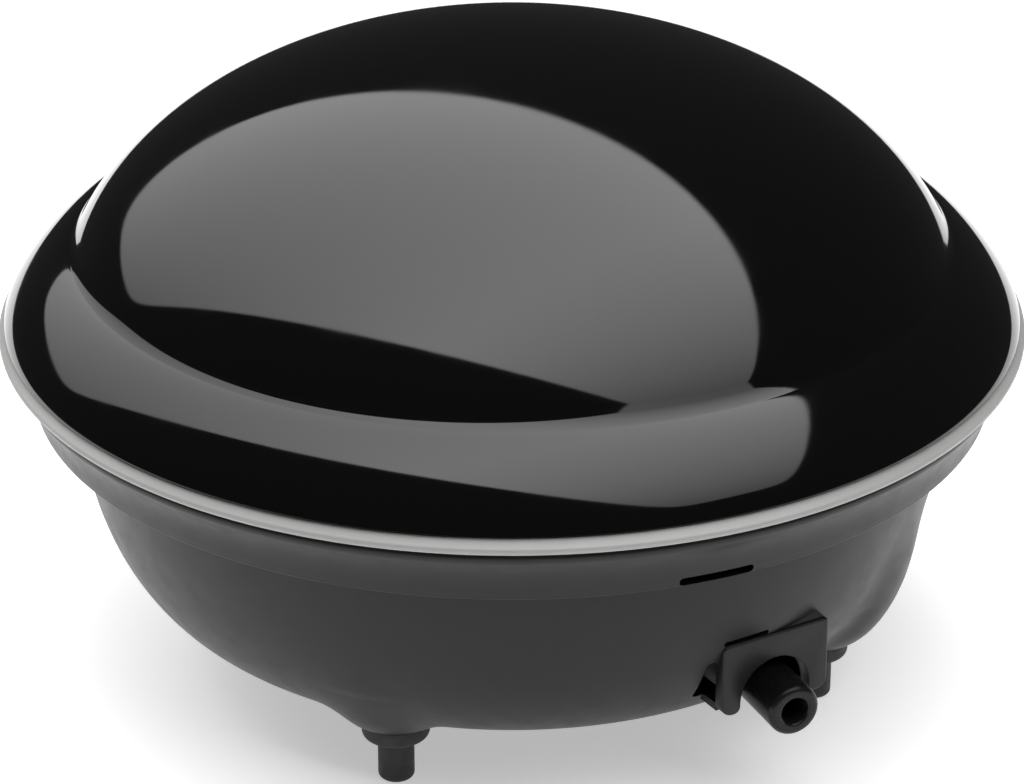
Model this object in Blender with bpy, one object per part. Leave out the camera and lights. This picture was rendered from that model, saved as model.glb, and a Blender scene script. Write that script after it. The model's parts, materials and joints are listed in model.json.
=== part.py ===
"""Air pump with a domed lid: every piece of the housing, the valve box and the vibrating-arm motor.

Units are metres and +Z is up. The origin is on the floor, under the middle of the round housing.
The air nozzle points to the front, -Y, and stands right of the middle.
"""

import math

import bmesh
import bpy
from mathutils import Matrix, Vector

MM = 0.001
WELD_DISTANCE = 0.002 * MM

# Clearances
GAP = 0.3 * MM                  # between two pieces that seat on or in each other

# Feet
FOOT_STUB_RADIUS = 2.3 * MM
FOOT_STUB_HEIGHT = 6.1 * MM
FOOT_FLANGE_RADIUS = 4.3 * MM
FOOT_FLANGE_HEIGHT = 2.4 * MM
FOOT_PLUG_HEIGHT = 5.0 * MM
FOOT_EDGE = 0.9 * MM            # rounding of the stub's end and of the flange's lower edge
LEG_INSET = 24.3 * MM           # from the rim inwards to the feet's circle
LEG_TURN = math.radians(-2.8)   # the feet's square is turned a little against the nozzle
LEG_SHIFT = (1.8 * MM, -0.8 * MM)
LEG_FOOT_RADIUS = 4.6 * MM      # flat end of a leg, round the foot's flange
LEG_RADIUS = 12.3 * MM
LEG_ROUND_HEIGHT = 15.0 * MM
LEG_POWER = 1.6                 # 1 is a straight slope, 2 is a plain ellipse
LEG_DROP = 1.1 * MM             # how far the legs reach below the bowl

# Housing
RIM_RADIUS = 65.0 * MM          # edge of the lid, the widest round of the body
BASE_HEIGHT = 38.8 * MM         # from the bowl's floor to the lid's edge
WALL = 2.0 * MM
LID_WALL = 2.4 * MM
BOWL_INSET = 8.7 * MM           # from the rim inwards to the bowl's widest round
BOWL_FLOOR_INSET = 24.7 * MM    # from the rim inwards to the edge of the flat floor
BAND_HEIGHT = 7.6 * MM          # from the top of the base down to the step
BAND_INSET = 3.5 * MM           # from the rim inwards to the band's lower edge
CREASE_INSET = 8.9 * MM         # from the rim inwards to the crease round the dome
CREASE_HEIGHT = 9.2 * MM
BRIM_POWER = 1.33               # 1 is a straight slope, 2 is a plain ellipse
DOME_OVERHANG = 2.87 * MM       # the dome's ellipse is this much wider than the crease
DOME_RISE = 37.13 * MM
DOME_CENTRE_DROP = 2.42 * MM    # the dome's ellipse has its centre this far under the lid's edge
RING_HEIGHT = 1.85 * MM
RING_OVERHANG = 0.75 * MM
SKIRT_INSET = 4.6 * MM          # from the rim inwards to the lid's locating skirt
SKIRT_WALL = 1.4 * MM
SKIRT_DEPTH = 5.7 * MM
ROUND_STEPS = 48

# Case screws, which come up through the legs into the lid's posts
PLUG_BORE_RADIUS = 3.2 * MM
PILLAR_RADIUS = 5.0 * MM
PILLAR_TOP_DROP = 4.7 * MM      # the pillars end this far under the lid's edge
PILLAR_SEAT = 10.0 * MM         # material between the screw's seat and the pillar's top
POST_RADIUS = 4.0 * MM
CASE_SCREW_RADIUS = 1.5 * MM
CASE_SCREW_HEAD_HEIGHT = 2.2 * MM
CASE_SCREW_BITE = 9.0 * MM      # length of thread inside the lid's post

# Outlet
OUTLET_AZIMUTH = math.radians(-83.0)
OUTLET_INSET = 10.7 * MM        # from the rim inwards to the outlet's front plate
OUTLET_SIDE = 5.1 * MM          # from the housing's axis sideways to the plate's middle
OUTLET_WIDTH = 15.4 * MM
OUTLET_HEIGHT = 9.8 * MM
OUTLET_LIFT = 4.6 * MM          # from the bowl's floor up to the legs of the plate
OUTLET_PLATE = 1.9 * MM
OUTLET_BLOCK_DEPTH = 9.5 * MM   # solid block behind the plate that holds the nozzle
OUTLET_BLOCK_SIDE = 4.5 * MM    # solid material beside the block, inside the bowl
POCKET_DEPTH = 5.5 * MM
POCKET_WIDTH = 3.0 * MM         # how far the side pockets reach past the plate
POCKET_BELOW = 1.2 * MM         # from the plate's lower edge up to the pockets
POCKET_ABOVE = 2.2 * MM         # from the plate's upper edge down to the pockets
SLOT_LENGTH = 6.5 * MM          # slot along the plate's upper edge
SLOT_DEPTH = 3.0 * MM
SLOT_HEIGHT = 1.1 * MM
WINDOW_AZIMUTH = math.radians(-91.0)
WINDOW_LENGTH = 10.0 * MM       # slot in the step above the outlet, left of it
WINDOW_HEIGHT = 1.8 * MM
WINDOW_DROP = 0.5 * MM          # how far the slot reaches below the step
ARCH_RADIUS = 5.0 * MM
ARCH_SPRING = 1.3 * MM          # straight part of the arch above the plate's lower edge
NOZZLE_RADIUS = 3.35 * MM
NOZZLE_TAIL_RADIUS = 2.25 * MM
NOZZLE_BORE_RADIUS = 1.75 * MM
NOZZLE_EDGE = 0.8 * MM          # rounding of the tip
NOZZLE_REACH = 5.0 * MM         # how far the tip stands out of the plate
NOZZLE_X = 11.9 * MM
NOZZLE_LIFT = 5.9 * MM          # height of the nozzle's axis above the bowl's floor
NOZZLE_INNER_REACH = 4.0 * MM   # how far the tail stands into the housing
TUBE_WALL = 0.8 * MM

# Intake filter, let into the bowl's floor
FILTER_RADIUS = 15.0 * MM
FILTER_CAP_HEIGHT = 1.6 * MM
FILTER_PAD_HEIGHT = 2.6 * MM
FILTER_SLOTS = 8
FILTER_SLOT_WIDTH = 1.6 * MM

# Cord gland
GLAND_DROP = 8.7 * MM           # from the step down to the cord
GLAND_FLANGE_RADIUS = 4.5 * MM
GLAND_NECK_RADIUS = 3.0 * MM
GLAND_BORE_RADIUS = 2.0 * MM
GLAND_FLANGE = 1.6 * MM
GLAND_PAD_EDGE = 0.9 * MM       # flat pad round the gland, inside and outside the wall

# Valve box and diaphragm, on the Y axis in front of the arm's pivot
CHAMBER_FRONT_Y = -30.0 * MM
CHAMBER_WIDTH = 26.0 * MM
CHAMBER_ROUNDING = 2.0 * MM
SMALL_ROUNDING = 1.0 * MM       # corners of the flaps and of the pivot's bracket
CHAMBER_HEIGHT = 10.0 * MM
CHAMBER_STAND = 9.5 * MM        # height of the posts under the valve box
VALVE_COVER_HEIGHT = 2.0 * MM
GASKET_HEIGHT = 0.8 * MM
DIAPHRAGM_RADIUS = 10.0 * MM
DIAPHRAGM_RIM = 1.0 * MM
DIAPHRAGM_RISE = 5.0 * MM
DIAPHRAGM_SKIN = 0.9 * MM
CLAMP_HEIGHT = 1.8 * MM
PUMP_CAVITY_DEPTH = 4.2 * MM
VALVE_WEB = 2.0 * MM
VALVE_OFFSET = 5.2 * MM
VALVE_HOLE_RADIUS = 1.5 * MM
FLAP_LENGTH = 7.0 * MM
FLAP_WIDTH = 4.6 * MM
FLAP_THICKNESS = 0.6 * MM
CHAMBER_SCREW_INSET = 2.7 * MM
SMALL_SCREW_RADIUS = 1.1 * MM
SMALL_SCREW_HEAD_RADIUS = 2.1 * MM
SMALL_SCREW_HEAD_HEIGHT = 1.5 * MM
SMALL_SCREW_BITE = 4.0 * MM
SMALL_POST_RADIUS = 3.4 * MM
FOOT_HOLE_INSET = 4.0 * MM      # from the end of a bracket's foot to its screw

# Rocking arm
CHAMBER_TO_PIVOT = 21.0 * MM
PIN_RADIUS = 1.2 * MM
PIN_LENGTH = 17.0 * MM
PIN_CLEARANCE = 0.05 * MM
ARM_WIDTH = 9.0 * MM
ARM_HEIGHT = 3.2 * MM
ARM_TO_MAGNET = 17.0 * MM       # from the pivot to the magnet's near face
HUB_RADIUS = 3.6 * MM
HUB_HEIGHT = 1.4 * MM
MAGNET_SIZE = (12.0 * MM, 4.0 * MM, 10.0 * MM)
MAGNET_ROUNDING = 0.5 * MM
CHEEK_THICKNESS = 2.2 * MM
CHEEK_PLAY = 0.5 * MM           # beside the arm, on each side

# Electromagnet
AIR_GAP = 1.6 * MM              # between the magnet and the poles
CORE_WIDTH = 12.0 * MM
CORE_LENGTH = 20.0 * MM
CORE_HEIGHT = 25.0 * MM
CORE_YOKE = 5.0 * MM
POLE_HEIGHT = 3.6 * MM
MIDDLE_POLE_HEIGHT = 6.0 * MM
BOBBIN_WALL = 1.0 * MM
RIVET_RADIUS = 1.3 * MM
RIVET_HEAD_HEIGHT = 0.8 * MM
WINDING_ROUNDING = 1.5 * MM
CRADLE_THICKNESS = 1.6 * MM
CRADLE_FOOT = 9.0 * MM

# Levels and radii that follow from the sizes above
leg_end_z = FOOT_STUB_HEIGHT + FOOT_FLANGE_HEIGHT + GAP
bowl_floor_z = leg_end_z + LEG_DROP
inner_floor_z = bowl_floor_z + WALL
rim_z = bowl_floor_z + BASE_HEIGHT
ring_top_z = rim_z - GAP
base_top_z = ring_top_z - RING_HEIGHT - GAP
step_z = base_top_z - BAND_HEIGHT
leg_circle_radius = RIM_RADIUS - LEG_INSET
bowl_radius = RIM_RADIUS - BOWL_INSET
bowl_floor_radius = RIM_RADIUS - BOWL_FLOOR_INSET
skirt_radius = RIM_RADIUS - SKIRT_INSET
crease_radius = RIM_RADIUS - CREASE_INSET
dome_radius = crease_radius + DOME_OVERHANG
pillar_top_z = rim_z - PILLAR_TOP_DROP
post_bottom_z = pillar_top_z + GAP
screw_seat_z = pillar_top_z - PILLAR_SEAT
case_screw_head_radius = PLUG_BORE_RADIUS - 2 * GAP
outlet_plane = RIM_RADIUS - OUTLET_INSET
outlet_bottom_z = bowl_floor_z + OUTLET_LIFT
outlet_top_z = outlet_bottom_z + OUTLET_HEIGHT
gland_z = step_z - GLAND_DROP
nozzle_z = bowl_floor_z + NOZZLE_LIFT
tube_radius = NOZZLE_TAIL_RADIUS + GAP + TUBE_WALL

chamber_y = CHAMBER_FRONT_Y + CHAMBER_WIDTH / 2
chamber_stand_z = inner_floor_z + CHAMBER_STAND
valve_cover_z = chamber_stand_z + GAP
gasket_z = valve_cover_z + VALVE_COVER_HEIGHT + GAP
chamber_z = gasket_z + GASKET_HEIGHT + GAP
chamber_top_z = chamber_z + CHAMBER_HEIGHT
diaphragm_z = chamber_top_z + GAP
clamp_z = diaphragm_z + DIAPHRAGM_RIM + GAP
clamp_top_z = clamp_z + CLAMP_HEIGHT
diaphragm_top_z = diaphragm_z + DIAPHRAGM_RISE
hub_z = diaphragm_top_z + GAP
arm_z = hub_z + HUB_HEIGHT + GAP
arm_top_z = arm_z + ARM_HEIGHT
pivot_z = arm_z + ARM_HEIGHT / 2
web_top_z = chamber_top_z - PUMP_CAVITY_DEPTH
web_bottom_z = web_top_z - VALVE_WEB
pivot_y = chamber_y + CHAMBER_TO_PIVOT
magnet_near_y = pivot_y + ARM_TO_MAGNET
core_y = magnet_near_y + MAGNET_SIZE[1] + AIR_GAP
core_back_y = core_y + CORE_LENGTH
core_bottom_z = pivot_z - CORE_HEIGHT / 2
cradle_z = core_bottom_z - GAP - CRADLE_THICKNESS
foot_half = CRADLE_FOOT + CORE_WIDTH / 2
foot_hole_x = foot_half - FOOT_HOLE_INSET

FEET = {
    "front_right": LEG_TURN - math.pi / 4,
    "back_right": LEG_TURN + math.pi / 4,
    "back_left": LEG_TURN + 3 * math.pi / 4,
    "front_left": LEG_TURN - 3 * math.pi / 4,
}


# ---------------------------------------------------------------- building helpers

def clear_scene():
    """Remove everything that a new file starts with."""
    for item in list(bpy.data.objects):
        bpy.data.objects.remove(item, do_unlink=True)


def make_object(name, bm):
    """Turn a bmesh into an object with outward faces."""
    bmesh.ops.remove_doubles(bm, verts=bm.verts, dist=WELD_DISTANCE)
    bmesh.ops.recalc_face_normals(bm, faces=bm.faces)
    mesh = bpy.data.meshes.new(name)
    bm.to_mesh(mesh)
    bm.free()
    item = bpy.data.objects.new(name, mesh)
    bpy.context.scene.collection.objects.link(item)
    return item


def turned(name, outline, steps=ROUND_STEPS):
    """Spin a closed outline of (radius, height) points round the Z axis."""
    bm = bmesh.new()
    corners = [bm.verts.new((radius, 0.0, height)) for radius, height in outline]
    for first, second in zip(corners, corners[1:] + corners[:1]):
        if first.co.x > 0.0 or second.co.x > 0.0:
            bm.edges.new((first, second))
    bmesh.ops.spin(
        bm,
        geom=bm.verts[:] + bm.edges[:],
        cent=(0.0, 0.0, 0.0),
        axis=(0.0, 0.0, 1.0),
        angle=math.tau,
        steps=steps,
        use_merge=True,
    )
    return make_object(name, bm)


def box(name, size, centre, bevel=0.0):
    """Make a block, with its upright edges rounded where a bevel is given."""
    bm = bmesh.new()
    bmesh.ops.create_cube(bm, size=1.0)
    bmesh.ops.scale(bm, vec=size, verts=bm.verts)
    if bevel > 0.0:
        upright = []
        for edge in bm.edges:
            first, second = edge.verts
            if abs(first.co.z - second.co.z) > size[2] / 2:
                upright.append(edge)
        bmesh.ops.bevel(bm, geom=upright, offset=bevel, segments=3, profile=0.5, affect="EDGES")
    bmesh.ops.translate(bm, vec=centre, verts=bm.verts)
    return make_object(name, bm)


def span_box(name, low, high, bevel=0.0):
    """Make a block from its low corner to its high corner."""
    size = [top - bottom for bottom, top in zip(low, high)]
    centre = [(top + bottom) / 2 for bottom, top in zip(low, high)]
    return box(name, size, centre, bevel)


def prism(name, outline, low, high):
    """Extrude an upright outline of (sideways, height) points outwards, from one depth to another."""
    bm = bmesh.new()
    face = bm.faces.new([bm.verts.new((low, sideways, height)) for sideways, height in outline])
    grown = bmesh.ops.extrude_face_region(bm, geom=[face])
    moved = [part for part in grown["geom"] if isinstance(part, bmesh.types.BMVert)]
    bmesh.ops.translate(bm, vec=(high - low, 0.0, 0.0), verts=moved)
    return make_object(name, bm)


def rod(name, radius, start, end, steps=20):
    """Make a round bar between two points."""
    start = Vector(start)
    end = Vector(end)
    direction = end - start
    bm = bmesh.new()
    bmesh.ops.create_cone(
        bm, cap_ends=True, segments=steps, radius1=radius, radius2=radius, depth=direction.length
    )
    turn = direction.to_track_quat("Z", "Y").to_matrix().to_4x4()
    bmesh.ops.transform(bm, matrix=Matrix.Translation((start + end) / 2) @ turn, verts=bm.verts)
    return make_object(name, bm)


def upright_bar(name, radius, low, high, steps=20):
    """Make a round bar on the housing's axis, from one height to another."""
    return rod(name, radius, (0.0, 0.0, low), (0.0, 0.0, high), steps)


def cross_bar(name, radius, start_x, end_x, y, height, steps=16):
    """Make a round bar that lies sideways, along X."""
    return rod(name, radius, (start_x, y, height), (end_x, y, height), steps)


def tidy_shape(mesh):
    """Weld the points that a Boolean leaves on top of each other."""
    bm = bmesh.new()
    bm.from_mesh(mesh)
    bmesh.ops.remove_doubles(bm, verts=bm.verts, dist=WELD_DISTANCE)
    bmesh.ops.dissolve_degenerate(bm, dist=WELD_DISTANCE, edges=bm.edges)
    bm.to_mesh(mesh)
    bm.free()


def combine(item, other, operation):
    """Apply one exact Boolean and remove the other object."""
    modifier = item.modifiers.new(operation.title(), "BOOLEAN")
    modifier.operation = operation
    modifier.solver = "EXACT"
    modifier.object = other
    bpy.context.view_layer.update()
    shape = bpy.data.meshes.new_from_object(item.evaluated_get(bpy.context.evaluated_depsgraph_get()))
    item.modifiers.remove(modifier)
    tidy_shape(shape)
    old_shape = item.data
    item.data = shape
    bpy.data.meshes.remove(old_shape)
    bpy.data.objects.remove(other, do_unlink=True)
    return item


def cut(item, *cutters):
    """Take each cutter out of an object."""
    for cutter in cutters:
        combine(item, cutter, "DIFFERENCE")
    return item


def join(item, *others):
    """Weld other solids onto an object."""
    for other in others:
        combine(item, other, "UNION")
    return item


def turn_to(item, azimuth):
    """Turn an object's shape about the Z axis of the housing."""
    item.data.transform(Matrix.Rotation(azimuth, 4, "Z"))
    return item


def move_shape(item, offset):
    """Shift an object's shape."""
    item.data.transform(Matrix.Translation(offset))
    return item


def put_origin(item, point):
    """Put an object's origin on a point without moving its shape."""
    item.data.transform(Matrix.Translation(-Vector(point)))
    item.location = point
    return item


def polar(radius, azimuth, height):
    """Give the point at a radius and azimuth round the housing."""
    return Vector((radius * math.cos(azimuth), radius * math.sin(azimuth), height))


def foot_point(azimuth, height):
    """Give the point above one foot at a height."""
    return polar(leg_circle_radius, azimuth, height) + Vector((*LEG_SHIFT, 0.0))


def arc_steps(first, last, count):
    """Give evenly spaced values from first to last."""
    return [first + (last - first) * step / count for step in range(count + 1)]


def finish(item, colour, roughness, metallic=0.0):
    """Give a piece its name, its own material and smooth shading over soft corners."""
    item.data.name = item.name
    item.data.shade_smooth()
    item.data.set_sharp_from_angle(angle=math.radians(35.0))
    material = bpy.data.materials.new(item.name)
    material.use_nodes = True
    shader = material.node_tree.nodes["Principled BSDF"]
    shader.inputs["Base Color"].default_value = (*colour, 1.0)
    shader.inputs["Roughness"].default_value = roughness
    shader.inputs["Metallic"].default_value = metallic
    item.data.materials.clear()
    item.data.materials.append(material)
    return item


BLACK_GLOSS = (0.008, 0.008, 0.009)
DARK_GREY = (0.045, 0.045, 0.044)
LIGHT_GREY = (0.46, 0.46, 0.45)
RUBBER_BLACK = (0.02, 0.02, 0.021)
CREAM = (0.62, 0.58, 0.5)
STEEL = (0.55, 0.55, 0.56)
COPPER = (0.5, 0.17, 0.07)


# ---------------------------------------------------------------- housing

def dome_curve(drop, steps, last_radius):
    """Points of the dome's ellipse, a wall's thickness inside it, from the top out to a radius."""
    reach = dome_radius - drop
    rise = DOME_RISE - drop
    last_angle = math.asin(last_radius / reach)
    points = []
    for angle in arc_steps(0.0, last_angle, steps):
        height = rim_z - DOME_CENTRE_DROP + rise * math.cos(angle)
        points.append((reach * math.sin(angle), height))
    return points


def lid_outline():
    """Outer outline of the lid: dome, crease, brim, flat underside and skirt."""
    points = dome_curve(0.0, 12, crease_radius)[:-1]
    for angle in arc_steps(0.0, math.pi / 2, 5):
        out = math.sin(angle) ** (2 / BRIM_POWER)
        down = math.cos(angle) ** (2 / BRIM_POWER)
        points.append((crease_radius + CREASE_INSET * out, rim_z + CREASE_HEIGHT * down))
    points.append((skirt_radius, rim_z))
    points.append((skirt_radius, rim_z - SKIRT_DEPTH))
    points.append((0.0, rim_z - SKIRT_DEPTH))
    return points


def lid_hollow_outline():
    """Outline of the space under the lid, open at the bottom of the skirt."""
    inner_skirt = skirt_radius - SKIRT_WALL
    points = dome_curve(LID_WALL, 7, crease_radius - LID_WALL / 2)
    points.append((inner_skirt, rim_z + CREASE_HEIGHT / 2 - GAP))
    points.append((inner_skirt, rim_z - SKIRT_DEPTH - WALL))
    points.append((0.0, rim_z - SKIRT_DEPTH - WALL))
    return points


def make_top_cover():
    """Glossy domed lid with a locating skirt and four screw posts."""
    hollow = turned("lid_hollow", lid_hollow_outline())
    for azimuth in FEET.values():
        low = foot_point(azimuth, post_bottom_z)
        high = foot_point(azimuth, rim_z + DOME_RISE)
        cut(hollow, rod("post", POST_RADIUS, low, high))
    cover = cut(turned("top_cover", lid_outline()), hollow)
    for azimuth in FEET.values():
        low = foot_point(azimuth, post_bottom_z - WALL)
        high = foot_point(azimuth, post_bottom_z + CASE_SCREW_BITE + 2 * GAP)
        cut(cover, rod("pilot", CASE_SCREW_RADIUS + GAP, low, high, 16))
    finish(cover, BLACK_GLOSS, 0.06)


def make_trim_ring():
    """Light grey ring clamped between the lid's edge and the base."""
    outer = RIM_RADIUS + RING_OVERHANG
    inner = skirt_radius + GAP
    lower = ring_top_z - RING_HEIGHT
    outline = [
        (inner, lower),
        (inner, ring_top_z),
        (RIM_RADIUS - GAP, ring_top_z),
        (RIM_RADIUS + RING_OVERHANG / 2, ring_top_z - RING_HEIGHT / 3),
        (outer, lower + RING_HEIGHT / 4),
        (outer - GAP, lower),
    ]
    finish(turned("trim_ring", outline), LIGHT_GREY, 0.35)


def bowl_curve(inset, floor_z, steps):
    """Side of the bowl from its widest round down to the flat floor."""
    flat = bowl_floor_radius - inset
    top = step_z - inset
    points = []
    for angle in arc_steps(0.0, math.pi / 2, steps):
        out = (bowl_radius - bowl_floor_radius) * math.cos(angle)
        points.append((flat + out, top - (top - floor_z) * math.sin(angle)))
    return points


def bowl_radius_at(height, inset, floor_z):
    """Radius of the bowl's side, a wall's thickness inside it, at a height."""
    top = step_z - inset
    down = (top - height) / (top - floor_z)
    out = (bowl_radius - bowl_floor_radius) * math.sqrt(1.0 - down ** 2)
    return bowl_floor_radius - inset + out


def base_outline():
    """Outer outline of the base: lip, tapering band, step and bowl."""
    foot_of_band = RIM_RADIUS - BAND_INSET
    lip = RIM_RADIUS - 2 * GAP
    points = [
        (0.0, base_top_z),
        (lip - GAP, base_top_z),
        (lip, base_top_z - BAND_HEIGHT * 0.1),
        (lip - GAP, base_top_z - BAND_HEIGHT * 0.24),
        (foot_of_band + BAND_INSET * 0.4, base_top_z - BAND_HEIGHT * 0.45),
        (foot_of_band + BAND_INSET * 0.12, base_top_z - BAND_HEIGHT * 0.72),
        (foot_of_band, base_top_z - BAND_HEIGHT * 0.96),
        (foot_of_band - GAP, step_z),
        (bowl_radius + WALL / 2, step_z),
    ]
    points += bowl_curve(0.0, bowl_floor_z, 10)
    points.append((0.0, bowl_floor_z))
    return points


def base_hollow_outline():
    """Outline of the space inside the base, open at the top."""
    ledge_z = step_z + WALL
    inner_rim = skirt_radius + GAP
    points = [
        (0.0, base_top_z + WALL),
        (inner_rim, base_top_z + WALL),
        (inner_rim, rim_z - SKIRT_DEPTH - GAP),
        (inner_rim - SKIRT_WALL / 2, ledge_z),
        (bowl_radius - WALL, ledge_z),
    ]
    points += bowl_curve(WALL, inner_floor_z, 6)
    points.append((0.0, inner_floor_z))
    return points


def make_leg(azimuth):
    """Round leg that bulges out of the bowl round one foot."""
    points = [(0.0, step_z - WALL), (LEG_RADIUS, step_z - WALL)]
    for angle in arc_steps(0.0, math.pi / 2, 4):
        out = math.cos(angle) ** (2 / LEG_POWER)
        down = math.sin(angle) ** (2 / LEG_POWER)
        radius = LEG_FOOT_RADIUS + (LEG_RADIUS - LEG_FOOT_RADIUS) * out
        points.append((radius, leg_end_z + LEG_ROUND_HEIGHT * (1.0 - down)))
    points.append((0.0, leg_end_z))
    leg = turn_to(turned("leg", points, 24), azimuth / 7)
    return move_shape(leg, foot_point(azimuth, 0.0))


def outlet_box(name, depth_range, side_range, height_range):
    """Block beside the outlet, given by its depth from the axis, its sides and its heights."""
    low = (depth_range[0], OUTLET_SIDE + side_range[0], height_range[0])
    high = (depth_range[1], OUTLET_SIDE + side_range[1], height_range[1])
    return turn_to(span_box(name, low, high), OUTLET_AZIMUTH)


def nozzle_depth_y(depth):
    """Y of the nozzle's axis where it is a depth from the housing's axis, along the outlet's plate."""
    return (depth - NOZZLE_X * math.cos(OUTLET_AZIMUTH)) / math.sin(OUTLET_AZIMUTH)


def nozzle_bar(name, radius, start_y, end_y, steps=32):
    """Round bar along the nozzle's axis."""
    return rod(name, radius, (NOZZLE_X, start_y, nozzle_z), (NOZZLE_X, end_y, nozzle_z), steps)


def outlet_cutters():
    """Arch, side pockets, nozzle bore and the slots round the outlet."""
    back = outlet_plane - OUTLET_PLATE
    pocket_back = back - POCKET_DEPTH
    half_width = OUTLET_WIDTH / 2
    arch = [(OUTLET_SIDE + ARCH_RADIUS, leg_end_z)]
    for angle in arc_steps(0.0, math.pi, 12):
        height = outlet_bottom_z + ARCH_SPRING + ARCH_RADIUS * math.sin(angle)
        arch.append((OUTLET_SIDE + ARCH_RADIUS * math.cos(angle), height))
    arch.append((OUTLET_SIDE - ARCH_RADIUS, leg_end_z))
    window_radius = RIM_RADIUS - BAND_INSET
    window_z = step_z - WINDOW_DROP
    window = span_box("window", (window_radius - WALL / 2, -WINDOW_LENGTH / 2, window_z),
                      (window_radius + WALL, WINDOW_LENGTH / 2, window_z + WINDOW_HEIGHT))
    block_y = nozzle_block_y()
    slot_z = outlet_top_z + GAP
    return [
        turn_to(prism("arch", arch, pocket_back - GAP, outlet_plane + WALL), OUTLET_AZIMUTH),
        outlet_box("pockets", (pocket_back, back),
                   (-half_width - POCKET_WIDTH, half_width + POCKET_WIDTH),
                   (outlet_bottom_z + POCKET_BELOW, outlet_top_z - POCKET_ABOVE)),
        nozzle_bar("nozzle_bore", NOZZLE_RADIUS + GAP, nozzle_tip_y() - WALL, block_y + WALL),
        nozzle_bar("tube_groove", tube_radius + GAP, block_y, block_y + 2 * NOZZLE_INNER_REACH),
        outlet_box("slot", (outlet_plane - SLOT_DEPTH, outlet_plane + WALL),
                   (-half_width, SLOT_LENGTH - half_width), (slot_z, slot_z + SLOT_HEIGHT)),
        turn_to(window, WINDOW_AZIMUTH),
    ]


def nozzle_tip_y():
    """Y of the nozzle's open end."""
    return nozzle_depth_y(outlet_plane) - NOZZLE_REACH


def nozzle_block_y():
    """Y where the nozzle leaves the solid block, clear of its slanting inner face."""
    inner_face = nozzle_depth_y(outlet_plane - OUTLET_BLOCK_DEPTH)
    return inner_face + (NOZZLE_RADIUS + GAP) / abs(math.tan(OUTLET_AZIMUTH)) + GAP


def filter_recess_cutters():
    """Round recess for the filter and the hole that lets the air in behind it."""
    recess_top = bowl_floor_z + FILTER_CAP_HEIGHT + FILTER_PAD_HEIGHT + 3 * GAP
    recess = upright_bar("recess", FILTER_RADIUS + GAP, bowl_floor_z - WALL, recess_top, 48)
    hole = upright_bar("air_hole", FILTER_RADIUS / 2, recess_top - WALL, recess_top + 2 * WALL, 24)
    return [recess, hole]


def mount_posts():
    """Places, radii and top heights of the posts that carry the inner pieces."""
    posts = []
    side = CHAMBER_WIDTH / 2 - CHAMBER_SCREW_INSET
    for x in (-side, side):
        for y in (-side, side):
            posts.append((x, chamber_y + y, SMALL_SCREW_HEAD_RADIUS + GAP, chamber_stand_z))
    for x in (-foot_hole_x, foot_hole_x):
        posts.append((x, core_y + CORE_LENGTH / 2, SMALL_POST_RADIUS, cradle_z - GAP))
        posts.append((x, pivot_y, SMALL_POST_RADIUS, chamber_stand_z))
    return posts


def gland_pad_faces():
    """Distances from the housing's axis to the inner and outer pad round the gland."""
    inner = bowl_radius_at(gland_z - GLAND_FLANGE_RADIUS, WALL, inner_floor_z)
    outer = bowl_radius_at(gland_z + GLAND_FLANGE_RADIUS, 0.0, bowl_floor_z)
    return inner - GAP, outer + GAP


def gland_rod(name, radius, start, end):
    """Round bar along the cord's way through the rear wall."""
    return rod(name, radius, (0.0, start, gland_z), (0.0, end, gland_z), 24)


def make_base_housing():
    """Matte bowl with four legs, the outlet's bracket and everything that is moulded into it."""
    recess_roof = bowl_floor_z + FILTER_CAP_HEIGHT + FILTER_PAD_HEIGHT + 3 * GAP + WALL
    pad_radius = GLAND_FLANGE_RADIUS + GLAND_PAD_EDGE
    pad_inner, pad_outer = gland_pad_faces()
    hollow = turned("base_hollow", base_hollow_outline())
    half_width = OUTLET_WIDTH / 2
    block_side = half_width + OUTLET_BLOCK_SIDE
    cut(hollow, outlet_box("block", (outlet_plane - OUTLET_BLOCK_DEPTH, RIM_RADIUS),
                           (-block_side, block_side), (bowl_floor_z, outlet_top_z + WALL)))
    cut(hollow, upright_bar("filter_roof", FILTER_RADIUS + WALL, bowl_floor_z, recess_roof, 48))
    cut(hollow, gland_rod("inner_pad", pad_radius, pad_inner, RIM_RADIUS))
    for azimuth in FEET.values():
        low = foot_point(azimuth, bowl_floor_z)
        cut(hollow, rod("pillar", PILLAR_RADIUS, low, foot_point(azimuth, pillar_top_z)))
    for x, y, radius, top in mount_posts():
        cut(hollow, rod("mount_post", radius, (x, y, bowl_floor_z), (x, y, top), 20))

    base = turned("base_housing", base_outline())
    join(base, outlet_box("plate", (outlet_plane - OUTLET_BLOCK_DEPTH, outlet_plane),
                          (-half_width, half_width), (outlet_bottom_z, outlet_top_z)))
    join(base, gland_rod("outer_pad", pad_radius, pad_inner, pad_outer))
    join(base, *[make_leg(azimuth) for azimuth in FEET.values()])
    cut(base, hollow)
    cut(base, *outlet_cutters(), *filter_recess_cutters())
    for azimuth in FEET.values():
        low = foot_point(azimuth, 0.0)
        cut(base, rod("plug_bore", PLUG_BORE_RADIUS, low, foot_point(azimuth, screw_seat_z)))
        high = foot_point(azimuth, rim_z)
        cut(base, rod("screw_bore", CASE_SCREW_RADIUS + GAP, low, high, 16))
    for x, y, _, top in mount_posts():
        low = (x, y, top - SMALL_SCREW_BITE - 2 * GAP)
        cut(base, rod("pilot", SMALL_SCREW_RADIUS + GAP, low, (x, y, top + WALL), 12))
    cut(base, gland_rod("gland_hole", GLAND_NECK_RADIUS + GAP, pad_inner - WALL, pad_outer + WALL))
    finish(base, DARK_GREY, 0.55)


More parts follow.
